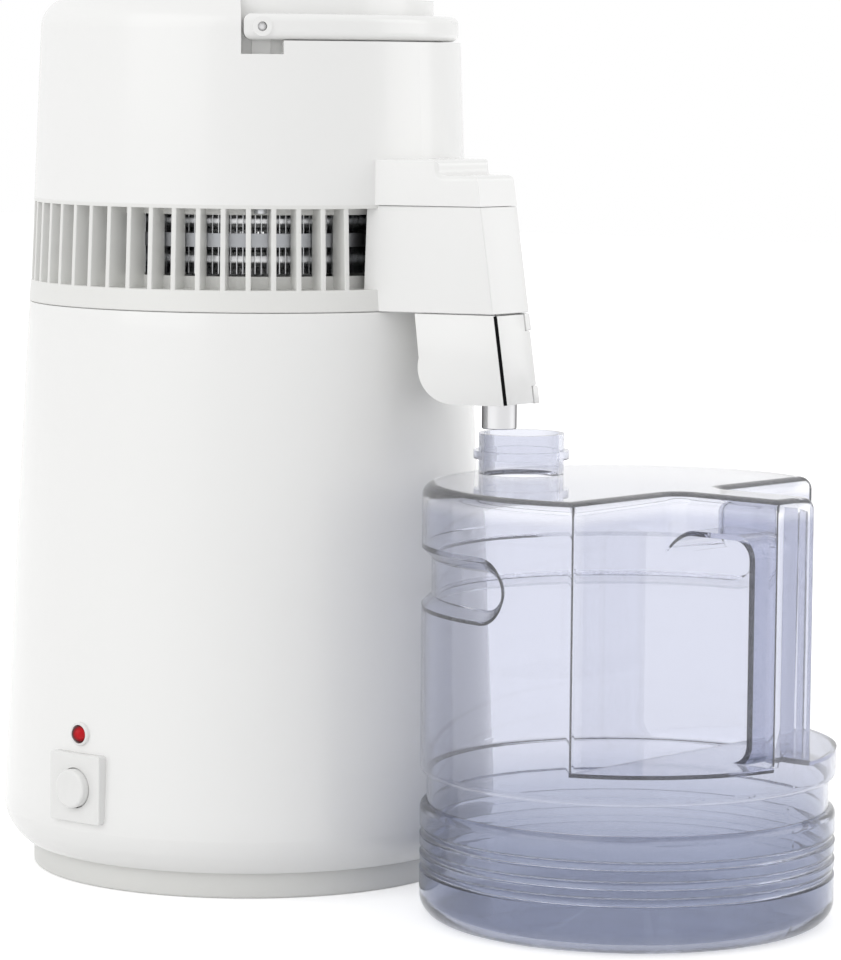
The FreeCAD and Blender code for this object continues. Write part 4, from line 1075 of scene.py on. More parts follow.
@dataclass(frozen=True)
class ClearPlastic(Finish):
    """Tinted clear plastic, deeper with the length looked through, with painted shade and painted light in
    its colour.

    Attributes:
        index: Its refractive index.
        base_shade_colour: The darker colour painted low on the jug, a painted shade towards its base.
        base_shade_span: The heights between which that painted shade fades out, in millimetres.
        deck_light_colour: The paler colour painted on the deck, a painted highlight on the jug's top.
        deck_light_span: The heights between which that painted highlight sets in.
        neck_span: The heights between which the painted highlight gives way again.
        rim_shade_colour: The colour painted on surfaces seen edge on, a painted shade along the jug's edges.
        rim_shade_weight: How much of that painted shade they take.
        rim_shade_span: Where it sets in and is full, from 0 for seen squarely to 1 for edge on.
        body: How much of the light the surface bends and tints; the rest goes straight through.
        shadow_relief: How much less of a lamp's light it holds back from what lies in its shadow.
        depth_colour: The colour that long paths take.
        density: How fast they take it, per metre.
    """

    index: float = 1.46
    base_shade_colour: Colour = (0.50, 0.53, 0.63)
    base_shade_span: Point2 = (36.0, 66.0)
    deck_light_colour: Colour = (0.98, 0.98, 0.99)
    deck_light_span: Point2 = (176.0, 182.0)
    neck_span: Point2 = (187.0, 190.0)
    rim_shade_colour: Colour = (0.32, 0.37, 0.55)
    rim_shade_weight: float = 0.35
    rim_shade_span: Point2 = (0.3, 1.0)
    body: float = 0.965
    shadow_relief: float = 0.85
    depth_colour: Colour = (0.30, 0.34, 0.58)
    density: float = 12.0

    def build(self, sketch: NodeSketch) -> bpy.types.Node:
        """Add the nodes of the material.

        Args:
            sketch: The material's sketch.

        Returns:
            The surface shader.
        """
        shader = super().build(sketch)
        shader.inputs["Transmission Weight"].default_value = 1.0
        shader.inputs["IOR"].default_value = self.index
        shader.inputs["Alpha"].default_value = self.body
        in_shadow = sketch.add("ShaderNodeLightPath").outputs["Is Shadow Ray"]
        relief = sketch.math("MULTIPLY", in_shadow, self.shadow_relief)
        sketch.feed(shader.inputs["Alpha"], sketch.math("SUBTRACT", self.body, relief))
        # painted shade: the base colour is darkened low on the jug and fades out upwards
        blend_base(sketch, shader, self.below(sketch, self.base_shade_span), self.base_shade_colour)
        # painted shade: surfaces seen edge on are darkened towards grey blue
        blend_base(sketch, shader, rim_shade_mask(sketch, self.rim_shade_weight, self.rim_shade_span), self.rim_shade_colour)
        # painted light: the deck, between these heights, is made paler
        neck_low, deck_low = self.below(sketch, self.neck_span), self.below(sketch, self.deck_light_span)
        blend_base(sketch, shader, sketch.math("SUBTRACT", neck_low, deck_low), self.deck_light_colour)
        volume = sketch.add(
            "ShaderNodeVolumeAbsorption",
            {"Color": opaque(self.depth_colour), "Density": self.density},
        )
        output = next(n for n in sketch.tree.nodes if n.bl_idname == "ShaderNodeOutputMaterial")
        sketch.feed(output.inputs["Volume"], volume.outputs[0])
        return shader

    @staticmethod
    def below(sketch: NodeSketch, span: Point2) -> bpy.types.NodeSocket:
        """Add a mask that is 1 low down and fades out upwards.

        Args:
            sketch: The material's sketch.
            span: The heights between which it fades, in millimetres.

        Returns:
            The mask.
        """
        spot = sketch.add("ShaderNodeSeparateXYZ", {0: sketch.add("ShaderNodeTexCoord").outputs["Object"]})
        low, high = (height * MM for height in span)
        fade = sketch.add(
            "ShaderNodeMapRange",
            {"Value": spot.outputs["Z"], "From Min": low, "From Max": high, "To Min": 1.0, "To Max": 0.0},
            interpolation_type="SMOOTHSTEP",
        )
        return fade.outputs[0]


@dataclass(frozen=True)
class LampFinish(Finish):
    """Translucent lamp plastic that glows faintly, with painted shade at its rim.

    Attributes:
        glow: The strength of its own light.
        rim_shade_colour: The dark colour painted on its rim, a painted shade where the lens is seen edge on.
        rim_shade_weight: How much of that painted shade the very edge takes.
        rim_shade_span: Where it sets in and is full, from 0 for seen squarely to 1 for edge on.
    """

    glow: float = 0.03
    rim_shade_colour: Colour = (0.02, 0.0, 0.001)
    rim_shade_weight: float = 0.97
    rim_shade_span: Point2 = (0.12, 0.5)

    def build(self, sketch: NodeSketch) -> bpy.types.Node:
        """Add the nodes of the material.

        Args:
            sketch: The material's sketch.

        Returns:
            The surface shader.
        """
        shader = super().build(sketch)
        # painted shade: the lens darkens to near black where it is seen edge on
        blend_base(sketch, shader, rim_shade_mask(sketch, self.rim_shade_weight, self.rim_shade_span), self.rim_shade_colour)
        shader.inputs["Emission Color"].default_value = opaque(self.colour)
        shader.inputs["Emission Strength"].default_value = self.glow
        return shader


GLOSS: dict[str, float] = {"scale": 900, "drift": 0.008, "depth": 0.006}     # moulded in a polished tool
SHEET: dict[str, object] = {"texture": Texture.BRUSHED, "metallic": 1.0}     # bare metal with drawing lines


class Finishes:
    """Every finish of the distiller."""

    HOUSING = Finish("gloss_white_housing", (0.88, 0.88, 0.87), 0.27, coat=0.25, **GLOSS)
    BUTTON = Finish("gloss_white_button", (0.82, 0.82, 0.81), 0.25, coat=0.3, **GLOSS)
    VENT = Finish(
        "satin_white_vents", (0.80, 0.80, 0.78), 0.36, scale=1200, drift=0.012, depth=0.01, coat=0.1
    )
    FOOT = Finish("satin_white_foot", (0.76, 0.76, 0.74), 0.45, scale=1600, drift=0.02, depth=0.03)
    CUP = Finish("white_inner_moulding", (0.74, 0.74, 0.72), 0.4, scale=1500, drift=0.015, depth=0.02)
    DARK = Finish("black_moulding", (0.02, 0.02, 0.022), 0.4, scale=2200, drift=0.1, depth=0.03)
    # painted shadow: a matt black for the strip that stands in the door's slit
    SLIT_SHADOW = Finish(
        "painted_slit_shadow", (0.004, 0.004, 0.005), 0.85, scale=2200, drift=0.1, depth=0.02, specular=0.05
    )
    FAN = Finish("dark_fan_moulding", (0.035, 0.037, 0.04), 0.38, scale=1800, drift=0.08, depth=0.02)
    MOTOR = Finish("black_lacquer", (0.015, 0.015, 0.017), 0.3, scale=1500, drift=0.1, depth=0.02)
    SILICONE = Finish("milky_silicone", (0.62, 0.60, 0.56), 0.5, scale=1800, drift=0.03, depth=0.02)
    CERAMIC = Finish("pale_ceramic", (0.66, 0.61, 0.50), 0.5, scale=1800, drift=0.05, depth=0.03)
    SACHET = Finish("fibre_pouch", (0.66, 0.65, 0.62), 0.9, scale=2600, drift=0.12, depth=0.25)
    STAINLESS = Finish(
        "drawn_stainless", (0.74, 0.74, 0.75), 0.30, scale=9000, drift=0.08, depth=0.004, **SHEET
    )
    # painted reflection: its default glancing tint is black, which darkens the tube's rims
    BRIGHT = PolishedMetal(
        "polished_stainless", (0.62, 0.62, 0.63), 0.08, scale=9000, drift=0.03, depth=0.001, **SHEET
    )
    STRAP = Finish(
        "dull_steel_strap", (0.42, 0.43, 0.45), 0.38, scale=9000, drift=0.06, depth=0.004, **SHEET
    )
    FINS = Finish(
        "mill_aluminium", (0.60, 0.61, 0.62), 0.28, scale=12000, drift=0.06, depth=0.004, **SHEET
    )
    ZINC = Finish("zinc_plate", (0.55, 0.56, 0.58), 0.34, scale=1500, drift=0.1, depth=0.01, metallic=1.0)
    # painted shade: the lens takes a near black rim from the defaults of LampFinish
    LAMP = LampFinish(
        "red_lamp_lens", (0.50, 0.002, 0.008), 0.12, scale=2500, drift=0.05, depth=0.004, specular=0.22
    )
    # painted shade and light: the jug takes a darker base, darker edges and a paler deck from ClearPlastic
    JUG = ClearPlastic("clear_blue_plastic", (0.775, 0.787, 0.85), 0.02, scale=300, drift=0.004, depth=0.003)


# --------------------------------------------------------------------------------------------------
# Sub-assemblies


@dataclass(frozen=True)
class Moulding:
    """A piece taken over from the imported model, with soft edges and a finish.

    Attributes:
        node: The node that it stands for.
        body: The body that it rides on.
        slot: The record's material slot.
        finish: Its finish.
        edge: The width of its soft edges, in millimetres; zero leaves its mesh alone.
    """

    node: str
    body: Body
    slot: Slot
    finish: Finish
    edge: float = 0.0

    def build(self, maker: Maker) -> None:
        """Make the piece, as a softened copy or as it is.

        Args:
            maker: The maker.
        """
        if self.edge:
            made = maker.copied(self.node, self.finish, self.edge)
            maker.register(made, self.body, self.slot, self.node)
        else:
            maker.finished(self.node, self.finish)


@dataclass
class BoilerHousing:
    """The tapered outer housing and the pan that it stands on."""

    seam_height: float = 257.5
    seam_radius: float = 100.3
    bulge_radius: float = 111.8
    bulge_height: float = 28.0
    bow: float = 0.35
    crease: Point2 = (109.0, 20.0)
    under_bend: Point2 = (105.85, 15.65)
    crease_bend: Point2 = (110.75, 24.0)
    rim: Point2 = (102.0, 12.0)
    opening_radius: float = 98.5
    wall: float = 2.5
    ledge_top: float = 250.5
    ledge_radius: float = 90.3
    ledge_thickness: float = 3.0
    lip_round: float = 0.7
    pan_radius: float = 98.2
    pan_height: float = 18.0
    pan_round: float = 1.4
    rows: int = 24
    panel_azimuth: float = -93.0
    sleeve_radius: float = 10.95
    sleeve_height: float = 47.0
    lamp_radius: float = 4.4
    lamp_height: float = 70.6
    inlet_half_width: float = 13.65
    inlet_half_rise: float = 10.15
    inlet_height: float = 42.0
    cut_from: float = 90.0
    cut_to: float = 125.0

    def radius(self, height: float) -> float:
        """Outer radius at a height above the bulge.

        Args:
            height: The height.

        Returns:
            The radius: a straight taper with a slight bow, fullest halfway up.
        """
        share = (height - self.bulge_height) / (self.seam_height - self.bulge_height)
        taper = self.bulge_radius + (self.seam_radius - self.bulge_radius) * share
        return taper + 4 * self.bow * share * (1 - share)

    def profile(self) -> list[Point2]:
        """Closed outline of the housing's wall.

        Returns:
            The outline, up the outside and down the inside.
        """
        bulge = (self.bulge_radius, self.bulge_height)
        points = [(self.opening_radius, self.rim[1])]
        points += arc_through(self.rim, self.under_bend, self.crease, 8)
        points += arc_through(self.crease, self.crease_bend, bulge, 8)[1:]
        span = self.seam_height - self.lip_round - self.bulge_height
        for n in range(1, self.rows):
            height = self.bulge_height + span * n / self.rows
            points.append((self.radius(height), height))
        lip = (self.seam_radius - self.lip_round, self.seam_height - self.lip_round)
        points += arc(lip, self.lip_round, 0, 90, 4)
        low = self.ledge_top - 3 * self.ledge_thickness
        points += [
            (self.seam_radius - self.wall, self.seam_height),
            (self.radius(self.ledge_top) - self.wall, self.ledge_top),
            (self.ledge_radius, self.ledge_top),
            (self.ledge_radius, self.ledge_top - self.ledge_thickness),
            (self.radius(low) - self.wall, low),
            (self.bulge_radius - self.wall, self.bulge_height),
            (self.crease[0] - self.wall, self.crease[1]),
            (self.rim[0], self.rim[1] + self.wall),
            (self.opening_radius, self.rim[1] + self.wall),
        ]
        return points

    def cutters(self, maker: Maker) -> list[bpy.types.Object]:
        """Shapes of the openings for the panel, the lamp and the mains inlet.

        Args:
            maker: The maker.

        Returns:
            The shapes.
        """
        shapes = []
        holes = ((self.sleeve_radius, self.sleeve_height), (self.lamp_radius, self.lamp_height))
        for radius, height in holes:
            bar = [(0.0, self.cut_from), (radius, self.cut_from), (radius, self.cut_to), (0.0, self.cut_to)]
            facing = outward(self.panel_azimuth, height)
            shapes.append(maker.turned("cutter", bar, Finishes.HOUSING, 64, facing))
        x, z = self.inlet_half_width, self.inlet_half_rise
        floor = [(-x, self.cut_from), (x, self.cut_from), (x, self.cut_to), (-x, self.cut_to)]
        shapes.append(prism("cutter", floor, self.inlet_height - z, self.inlet_height + z))
        return shapes

    def build(self, maker: Maker) -> None:
        """Make the housing and the pan.

        Args:
            maker: The maker.
        """
        housing = maker.closed_turn("boiler_housing", self.profile(), Finishes.HOUSING, segments=256)
        shade(maker.dress(carve(housing, self.cutters(maker)), Finishes.HOUSING))
        maker.register(housing, Body.BOILER, Slot.HOUSING, "boiler_shell")
        outer, top = self.pan_radius, self.pan_height
        inner = outer - self.wall
        pan = [(0.0, 0.0)] + arc((outer - self.pan_round, self.pan_round), self.pan_round, -90, 0, 4)
        pan += [(outer, top), (inner, top), (inner, self.wall), (0.0, self.wall)]
        foot = maker.turned("foot_pan", pan, Finishes.FOOT, segments=192)
        maker.register(foot, Body.BOILER, Slot.FOOT, "base_pan")


@dataclass
class ControlPanel:
    """The switch plate with its button and the indicator lamp above it."""

    azimuth: float = -93.0
    plate_height: float = 47.0
    button_front: float = 117.64
    button_radius: float = 8.6
    button_length: float = 9.0
    button_round: float = 1.1
    button_wall: float = 1.8
    front_wall: float = 3.0
    dish: float = 0.5
    dish_reach: float = 6.6
    dish_steps: int = 4
    stem_radius: float = 3.0
    stem_end: float = 100.4
    lamp_height: float = 70.6
    lamp_seat: float = 109.88
    bezel_radius: float = 5.2
    bezel_proud: float = 1.6
    bezel_depth: float = 1.2
    bezel_round: float = 0.6
    lens_radius: float = 4.1
    lens_proud: float = 4.2
    lens_round: float = 4.0
    lens_depth: float = 2.5
    lens_gap: float = 0.02
    spring_radius: float = 4.9
    spring_wire: float = 0.4
    spring_turns: float = 4.0
    spring_steps: int = 24
    spring_span: Point2 = (98.45, 113.84)
    press_travel: float = 2.5

    def button(self, maker: Maker) -> bpy.types.Object:
        """The push button, with its shallow finger dish.

        Args:
            maker: The maker.

        Returns:
            The piece.
        """
        front = self.button_front
        inner_front = front - self.front_wall
        back = front - self.button_length
        inner = self.button_radius - self.button_wall
        corner = (self.button_radius - self.button_round, front - self.button_round)
        points = [(0.0, self.stem_end), (self.stem_radius, self.stem_end), (self.stem_radius, inner_front)]
        points += [(inner, inner_front), (inner, back), (self.button_radius, back)]
        points += arc(corner, self.button_round, 0, 90, 5)
        for n in range(self.dish_steps + 1):
            share = 1 - n / self.dish_steps
            points.append((self.dish_reach * share, front - self.dish * (1 - share * share)))
        facing = outward(self.azimuth, self.plate_height)
        return maker.turned("power_button_cap", points, Finishes.BUTTON, 96, facing)

    def lamp(self, maker: Maker) -> None:
        """Make the lamp's ring and its domed lens.

        Args:
            maker: The maker.
        """
        facing = outward(self.azimuth, self.lamp_height)
        front = self.lamp_seat + self.bezel_proud
        back = self.lamp_seat - self.bezel_depth
        corner = (self.bezel_radius - self.bezel_round, front - self.bezel_round)
        bezel = [(self.lens_radius, back), (self.bezel_radius, back)]
        bezel += arc(corner, self.bezel_round, 0, 90, 4) + [(self.lens_radius, front)]
        made = maker.closed_turn("lamp_ring", bezel, Finishes.BUTTON, 72, facing)
        maker.register(made, Body.BOILER, Slot.BUTTON, "lamp_bezel")
        tip = self.lamp_seat + self.lens_proud
        back = self.lamp_seat - self.lens_depth
        side = self.lens_radius - self.lens_gap
        corner = (side - self.lens_round, tip - self.lens_round)
        lens = [(0.0, back), (side, back)] + arc(corner, self.lens_round, 0, 90, 8) + [(0.0, tip)]
        made = maker.turned("lamp_lens_dome", lens, Finishes.LAMP, 64, facing)
        maker.register(made, Body.BOILER, Slot.LAMP, "lamp_lens")

    def spring(self, maker: Maker) -> None:
        """Make the coil spring behind the button.

        Args:
            maker: The maker.
        """
        low, high = self.spring_span
        steps = int(self.spring_turns * self.spring_steps)
        path = []
        for n in range(steps + 1):
            angle = math.tau * self.spring_turns * n / steps
            spot = (self.spring_radius * math.cos(angle), self.spring_radius * math.sin(angle))
            path.append((*spot, low + (high - low) * n / steps))
        facing = outward(self.azimuth, self.plate_height)
        spring = place(maker.tube("button_coil", path, self.spring_wire, Finishes.ZINC, sides=8), facing)
        maker.register(spring, Body.BOILER, Slot.ZINC, "button_spring")
        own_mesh(spring)

    def build(self, maker: Maker) -> None:
        """Make the panel.

        Args:
            maker: The maker.
        """
        Moulding("switch_plate", Body.BOILER, Slot.BUTTON, Finishes.BUTTON, 0.35).build(maker)
        maker.register(self.button(maker), Body.BUTTON, Slot.BUTTON, "power_button")
        self.lamp(maker)
        self.spring(maker)


@dataclass
class VentRing:
    """The slatted ring between boiler and top cover."""

    low: float = 257.75
    slot_low: float = 267.3
    slot_high: float = 302.6
    high: float = 304.2
    outer_low: float = 100.3
    outer_band: float = 99.5
    outer_high: float = 98.0
    inner_outer: float = 88.0
    inner: float = 85.8
    sill_low: float = 255.2
    sill_high: float = 272.8
    lintel_low: float = 299.6
    floor: float = 2.5
    floor_reach: Point2 = (95.3, 97.0)
    edge: float = 0.4
    rim_steps: int = 224
    slat_count: int = 56
    slat_thickness: float = 2.3
    slat_round: float = 0.55
    slat_root: float = 1.0
    slat_inset: float = 0.1
    slat_overlap: float = 0.5
    spout_gap: float = 21.0

    def slat(self) -> bpy.types.Object:
        """One slat at the +X side, between the two rims.

        Returns:
            Its object.
        """
        half = self.slat_thickness / 2
        back = self.inner_outer - self.slat_root
        ends = (
            (self.slot_low - self.slat_overlap, self.outer_band),
            (self.slot_high + self.slat_overlap, self.outer_high),
        )
        rings = []
        for height, reach in ends:
            front = reach - self.slat_inset
            corners = [
                (back, -half, 0.0),
                (front, -half, self.slat_round),
                (front, half, self.slat_round),
                (back, half, 0.0),
            ]
            rings.append([(x, y, height) for x, y in rounded_outline(corners)])
        return loft("vent_slats", rings)

    def build(self, maker: Maker) -> None:
        """Make the two rims and the row of slats.

        Args:
            maker: The maker.
        """
        below = self.slot_low - self.floor
        lower = [
            (self.floor_reach[0], self.low),
            (self.outer_low - self.edge, self.low),
            (self.outer_low, self.low + self.edge),
            (self.outer_band, self.slot_low - self.edge),
            (self.outer_band - self.edge, self.slot_low),
            (self.inner_outer, self.slot_low),
            (self.inner_outer, self.sill_high),
            (self.inner, self.sill_high),
            (self.inner, self.sill_low),
            (self.inner_outer, self.sill_low),
            (self.inner_outer, below),
            (self.floor_reach[1], below),
        ]
        upper = [
            (self.inner, self.lintel_low),
            (self.inner_outer, self.lintel_low),
            (self.inner_outer, self.slot_high),
            (self.outer_high, self.slot_high),
            (self.outer_high, self.high),
            (self.inner, self.high),
        ]
        pieces = [
            maker.closed_turn("vent_lower_rim", lower, Finishes.VENT, segments=self.rim_steps),
            maker.closed_turn("vent_upper_rim", upper, Finishes.VENT, segments=self.rim_steps),
            maker.repeated(self.slat(), Finishes.VENT, self.slat_count, left_out=self.spout_gap),
        ]
        for made in pieces:
            maker.register(made, Body.HEAD, Slot.VENT, "vent_ring")


@dataclass
class Spout:
    """The spout: middle box, hood, filter door with a black strip of painted shadow in its slit and a bead,
    and outlet tube.
    """

    root: float = 93.0
    root_half_width: float = 30.0
    nose: float = 146.4
    half_width: float = 13.6
    slope: float = 0.155
    seam: float = 257.5
    box_low: float = 257.75
    box_high: float = 303.95
    box_back: float = 89.2
    wall: float = 2.0
    edge: float = 0.6
    nozzle_at: float = 140.6
    nozzle_radius: float = 7.6
    nozzle_wall: float = 0.9
    nozzle_low: float = 207.2
    nozzle_high: float = 226.0
    nozzle_lip: float = 0.35
    collar_low: float = 220.2
    collar: float = 1.2
    strip_span: Point2 = (218.5, 256.95)
    strip_sides: Point3 = (-13.3, -12.35, -10.87)
    strip_proud: float = 0.12
    strip_flush: float = 0.012
    strip_depth: float = 1.5
    hinge_inset: float = 1.8
    bead_span: Point2 = (226.5, 249.2)
    bead_side: float = 1.45

    def nose_at(self, height: float) -> float:
        """How far out the leaning front stands at a height."""
        return self.nose - self.slope * (height - self.seam)

    def plan(self, height: float, inset: float) -> list[Point3]:
        """The middle box's outline at a height.

        Args:
            height: The height.
            inset: How far inside the outer form it runs.

        Returns:
            The points.
        """
        flare = (self.root_half_width - self.half_width) / (self.nose - self.root)
        nose = self.nose_at(height) - inset
        front = self.half_width - inset + flare * inset
        back = front + flare * (nose - self.box_back)
        corners = [
            (self.box_back, -back, 0.0),
            (nose, -front, self.edge),
            (nose, front, self.edge),
            (self.box_back, back, 0.0),
        ]
        return [(x, y, height) for x, y in rounded_outline(corners)]

    def strip(self, maker: Maker) -> None:
        """Make the black strip of painted shadow that fills the slit along the door's free edge.

        Args:
            maker: The maker.
        """
        left, middle, right = self.strip_sides
        rings = []
        for height in self.strip_span:
            front = self.nose_at(height)
            proud, flush, back = front + self.strip_proud, front + self.strip_flush, front - self.strip_depth
            corners = [(back, middle), (flush, middle), (flush, left)]
            corners += [(proud, left), (proud, right), (back, right)]
            rings.append([(x, y, height) for x, y in corners])
        # painted shadow: a black strip stands where the slit is only in shade
        made = maker.dress(loft("door_slit_shadow_strip", rings), Finishes.SLIT_SHADOW)
        maker.register(made, Body.HEAD, Slot.DARK)

    def bead(self, maker: Maker) -> None:
        """Make the bead that squares the door's hinged edge between the knuckles.

        Args:
            maker: The maker.
        """
        side = self.bead_side
        low_y = self.half_width - self.hinge_inset
        high_y = low_y + side
        rings = []
        for height in self.bead_span:
            low_x = self.nose_at(height) - self.hinge_inset
            high_x = low_x + side
            corners = [(low_x, low_y, 0.0), (high_x, low_y, 0.0)]
            corners += [(high_x, high_y, self.edge / 2), (low_x, high_y, 0.0)]
            rings.append([(px, py, height) for px, py in rounded_outline(corners)])
        made = shade(maker.dress(loft("door_edge_bead", rings), Finishes.HOUSING))
        maker.register(made, Body.DOOR, Slot.HOUSING)

    def tube(self, maker: Maker) -> None:
        """Make the outlet tube with its collar.

        Args:
            maker: The maker.
        """
        outer, low, high = self.nozzle_radius, self.nozzle_low, self.nozzle_high
        inner = outer - self.nozzle_wall
        lip = self.nozzle_lip
        rim = outer + self.collar
        collar_high = self.collar_low + self.nozzle_wall
        wall = [(inner, low + lip), (inner + lip, low), (outer - lip, low), (outer, low + lip)]
        wall += [(outer, self.collar_low), (rim, self.collar_low), (rim, collar_high), (outer, collar_high)]
        wall += [(outer, high), (inner, high)]
        upright = Matrix.Translation((self.nozzle_at * MM, 0, 0))
        made = maker.closed_turn("nozzle_tube", wall, Finishes.BRIGHT, 96, upright)
        maker.register(made, Body.HEAD, Slot.TUBE, "nozzle")

    def build(self, maker: Maker) -> None:
        """Make the spout.

        Args:
            maker: The maker.
        """
        low, high, soft = self.box_low, self.box_high, self.edge / 2
        outside = [(low, soft), (low + soft, 0.0), (high - soft, 0.0), (high, soft)]
        inside = [(high, self.wall), (low + self.wall, self.wall)]
        rings = [self.plan(height, inset) for height, inset in outside + inside]
        box = shade(maker.dress(loft("spout_middle", rings), Finishes.HOUSING))
        maker.register(box, Body.HEAD, Slot.HOUSING, "vent_ring")
        Moulding("spout_hood", Body.HEAD, Slot.HOUSING, Finishes.HOUSING, 0.35).build(maker)
        Moulding("filter_door", Body.DOOR, Slot.HOUSING, Finishes.HOUSING, 0.3).build(maker)
        self.strip(maker)
        self.bead(maker)
        self.tube(maker)


@dataclass
class Condenser:
    """Two finned turns of tube, the tubes between them and the strap round the fins."""

    circle: float = 77.0
    upper: float = 297.0
    lower: float = 280.0
    tube: float = 4.0
    riser: float = 4.7
    riser_low: float = 271.2
    link: float = 3.4
    outlet: float = 3.0
    drop_at: float = 134.6
    drop_low: float = 244.5
    fin_reach: float = 8.0
    fin_rise: float = 6.2
    fin_thickness: float = 0.35
    fin_count: int = 200
    fin_start: float = 0.9
    strap_thickness: float = 0.8
    strap_rise: float = 3.0
    bend: float = 8.0

    def loop(self, height: float) -> list[Point3]:
        """Points of one full turn of tube."""
        return [(x, y, height) for x, y in arc((0.0, 0.0), self.circle, 0, 360, 120)[:-1]]

    def fin_row(self, maker: Maker, height: float, name: str) -> bpy.types.Object:
        """One row of fins.

        Args:
            maker: The maker.
            height: The height of its tube.
            name: The piece's name.

        Returns:
            The piece.
        """
        half = self.fin_thickness / 2
        low, high = self.circle - self.fin_reach, self.circle + self.fin_reach
        floor = [(low, -half), (high, -half), (high, half), (low, half)]
        fin = prism(name, floor, height - self.fin_rise, height + self.fin_rise)
        return maker.repeated(fin, Finishes.FINS, self.fin_count, self.fin_start)

    def build(self, maker: Maker) -> None:
        """Make the condenser.

        Args:
            maker: The maker.
        """
        bend, low, high = self.bend, self.lower, self.upper
        rows = {"upper": high, "lower": low}
        pieces = [
            maker.tube(f"coil_{row}_turn", self.loop(height), self.tube, Finishes.STAINLESS, loop=True)
            for row, height in rows.items()
        ]
        pieces += [self.fin_row(maker, height, f"fins_{row}_row") for row, height in rows.items()]
        corner = arc((-bend, high - bend), bend, 0, 90, 8)
        feed = [(0.0, 0.0, self.riser_low)] + [(x, 0.0, z) for x, z in corner] + [(-self.circle, 0.0, high)]
        link = [(0.0, self.circle, low), (0.0, self.circle, high)]
        corner = arc((self.drop_at - bend / 2, low - bend / 2), bend / 2, 90, 0, 8)
        outlet = [(self.circle, 0.0, low)] + [(x, 0.0, z) for x, z in corner]
        outlet.append((self.drop_at, 0.0, self.drop_low))
        for name, path, radius in (
            ("coil_feed", feed, self.link),
            ("coil_link", link, self.link),
            ("coil_outlet", outlet, self.outlet),
        ):
            pieces.append(maker.tube(name, path, radius, Finishes.STAINLESS))
        for made in pieces:
            maker.register(made, Body.HEAD, Slot.FINS, "condenser_coil")
        middle = (self.upper + self.lower) / 2
        inner = self.circle + self.fin_reach
        outer = inner + self.strap_thickness
        low, high = middle - self.strap_rise, middle + self.strap_rise
        strap = [(inner, low), (outer, low), (outer, high), (inner, high)]
        made = maker.closed_turn("coil_strap", strap, Finishes.STRAP)
        maker.register(made, Body.HEAD, Slot.TUBE, "coil_band")


@dataclass
class CharcoalPouch:
    """The stuffed fibre pouch in the filter cup, with its crimped hem at the top."""

    at: float = 137.6
    radius: float = 6.0
    low: float = 227.4
    belly_top: float = 239.6
    high: float = 242.8
    hem_width: float = 5.2
    hem_depth: float = 0.5
    folds: int = 9
    fold_depth: float = 0.28
    sides: int = 72
    rows: int = 28
    least_half: float = 0.4
    crease_angle: float = 70.0
    fill: float = 0.8

    def section(self, share: float) -> Point3:
        """Half width, half depth and height of the pouch at a share of the way up.

        Args:
            share: 0 at the bottom, 1 at the top of the hem.

        Returns:
            The three lengths.
        """
        height = self.low + (self.high - self.low) * share
        belly = (self.belly_top - self.low) / (self.high - self.low)
        if share >= belly:
            return self.hem_width, self.hem_depth, height
        middle = abs(2 * share / belly - 1)
        fullness = math.sqrt(max(0.0, 1 - middle ** 4))
        pinch = max(0.0, (share / belly - 0.5) * 2) ** 3
        belly_half = self.radius * fullness * (1 - pinch)
        width = belly_half + self.hem_width * pinch
        depth = belly_half + self.hem_depth * pinch
        return max(width, self.least_half), max(depth, self.least_half), height

    def build(self, maker: Maker) -> None:
        """Make the pouch.

        Args:
            maker: The maker.
        """
        rings = []
        for row in range(self.rows + 1):
            width, depth, height = self.section(row / self.rows)
            slack = self.fold_depth * depth / self.radius
            ring = []
            for side in range(self.sides):
                angle = math.tau * side / self.sides
                crease = slack * math.cos(self.folds * angle + row / self.rows)
                x = (width - slack + crease) * math.cos(angle)
                y = (depth - slack + crease) * math.sin(angle)
                ring.append((self.at + x, y, height))
            rings.append(ring)
        pouch = maker.dress(loft("fibre_pouch", rings), Finishes.SACHET)
        shade(pouch, math.radians(self.crease_angle))
        maker.register(pouch, Body.HEAD, Slot.SACHET, "charcoal_sachet")


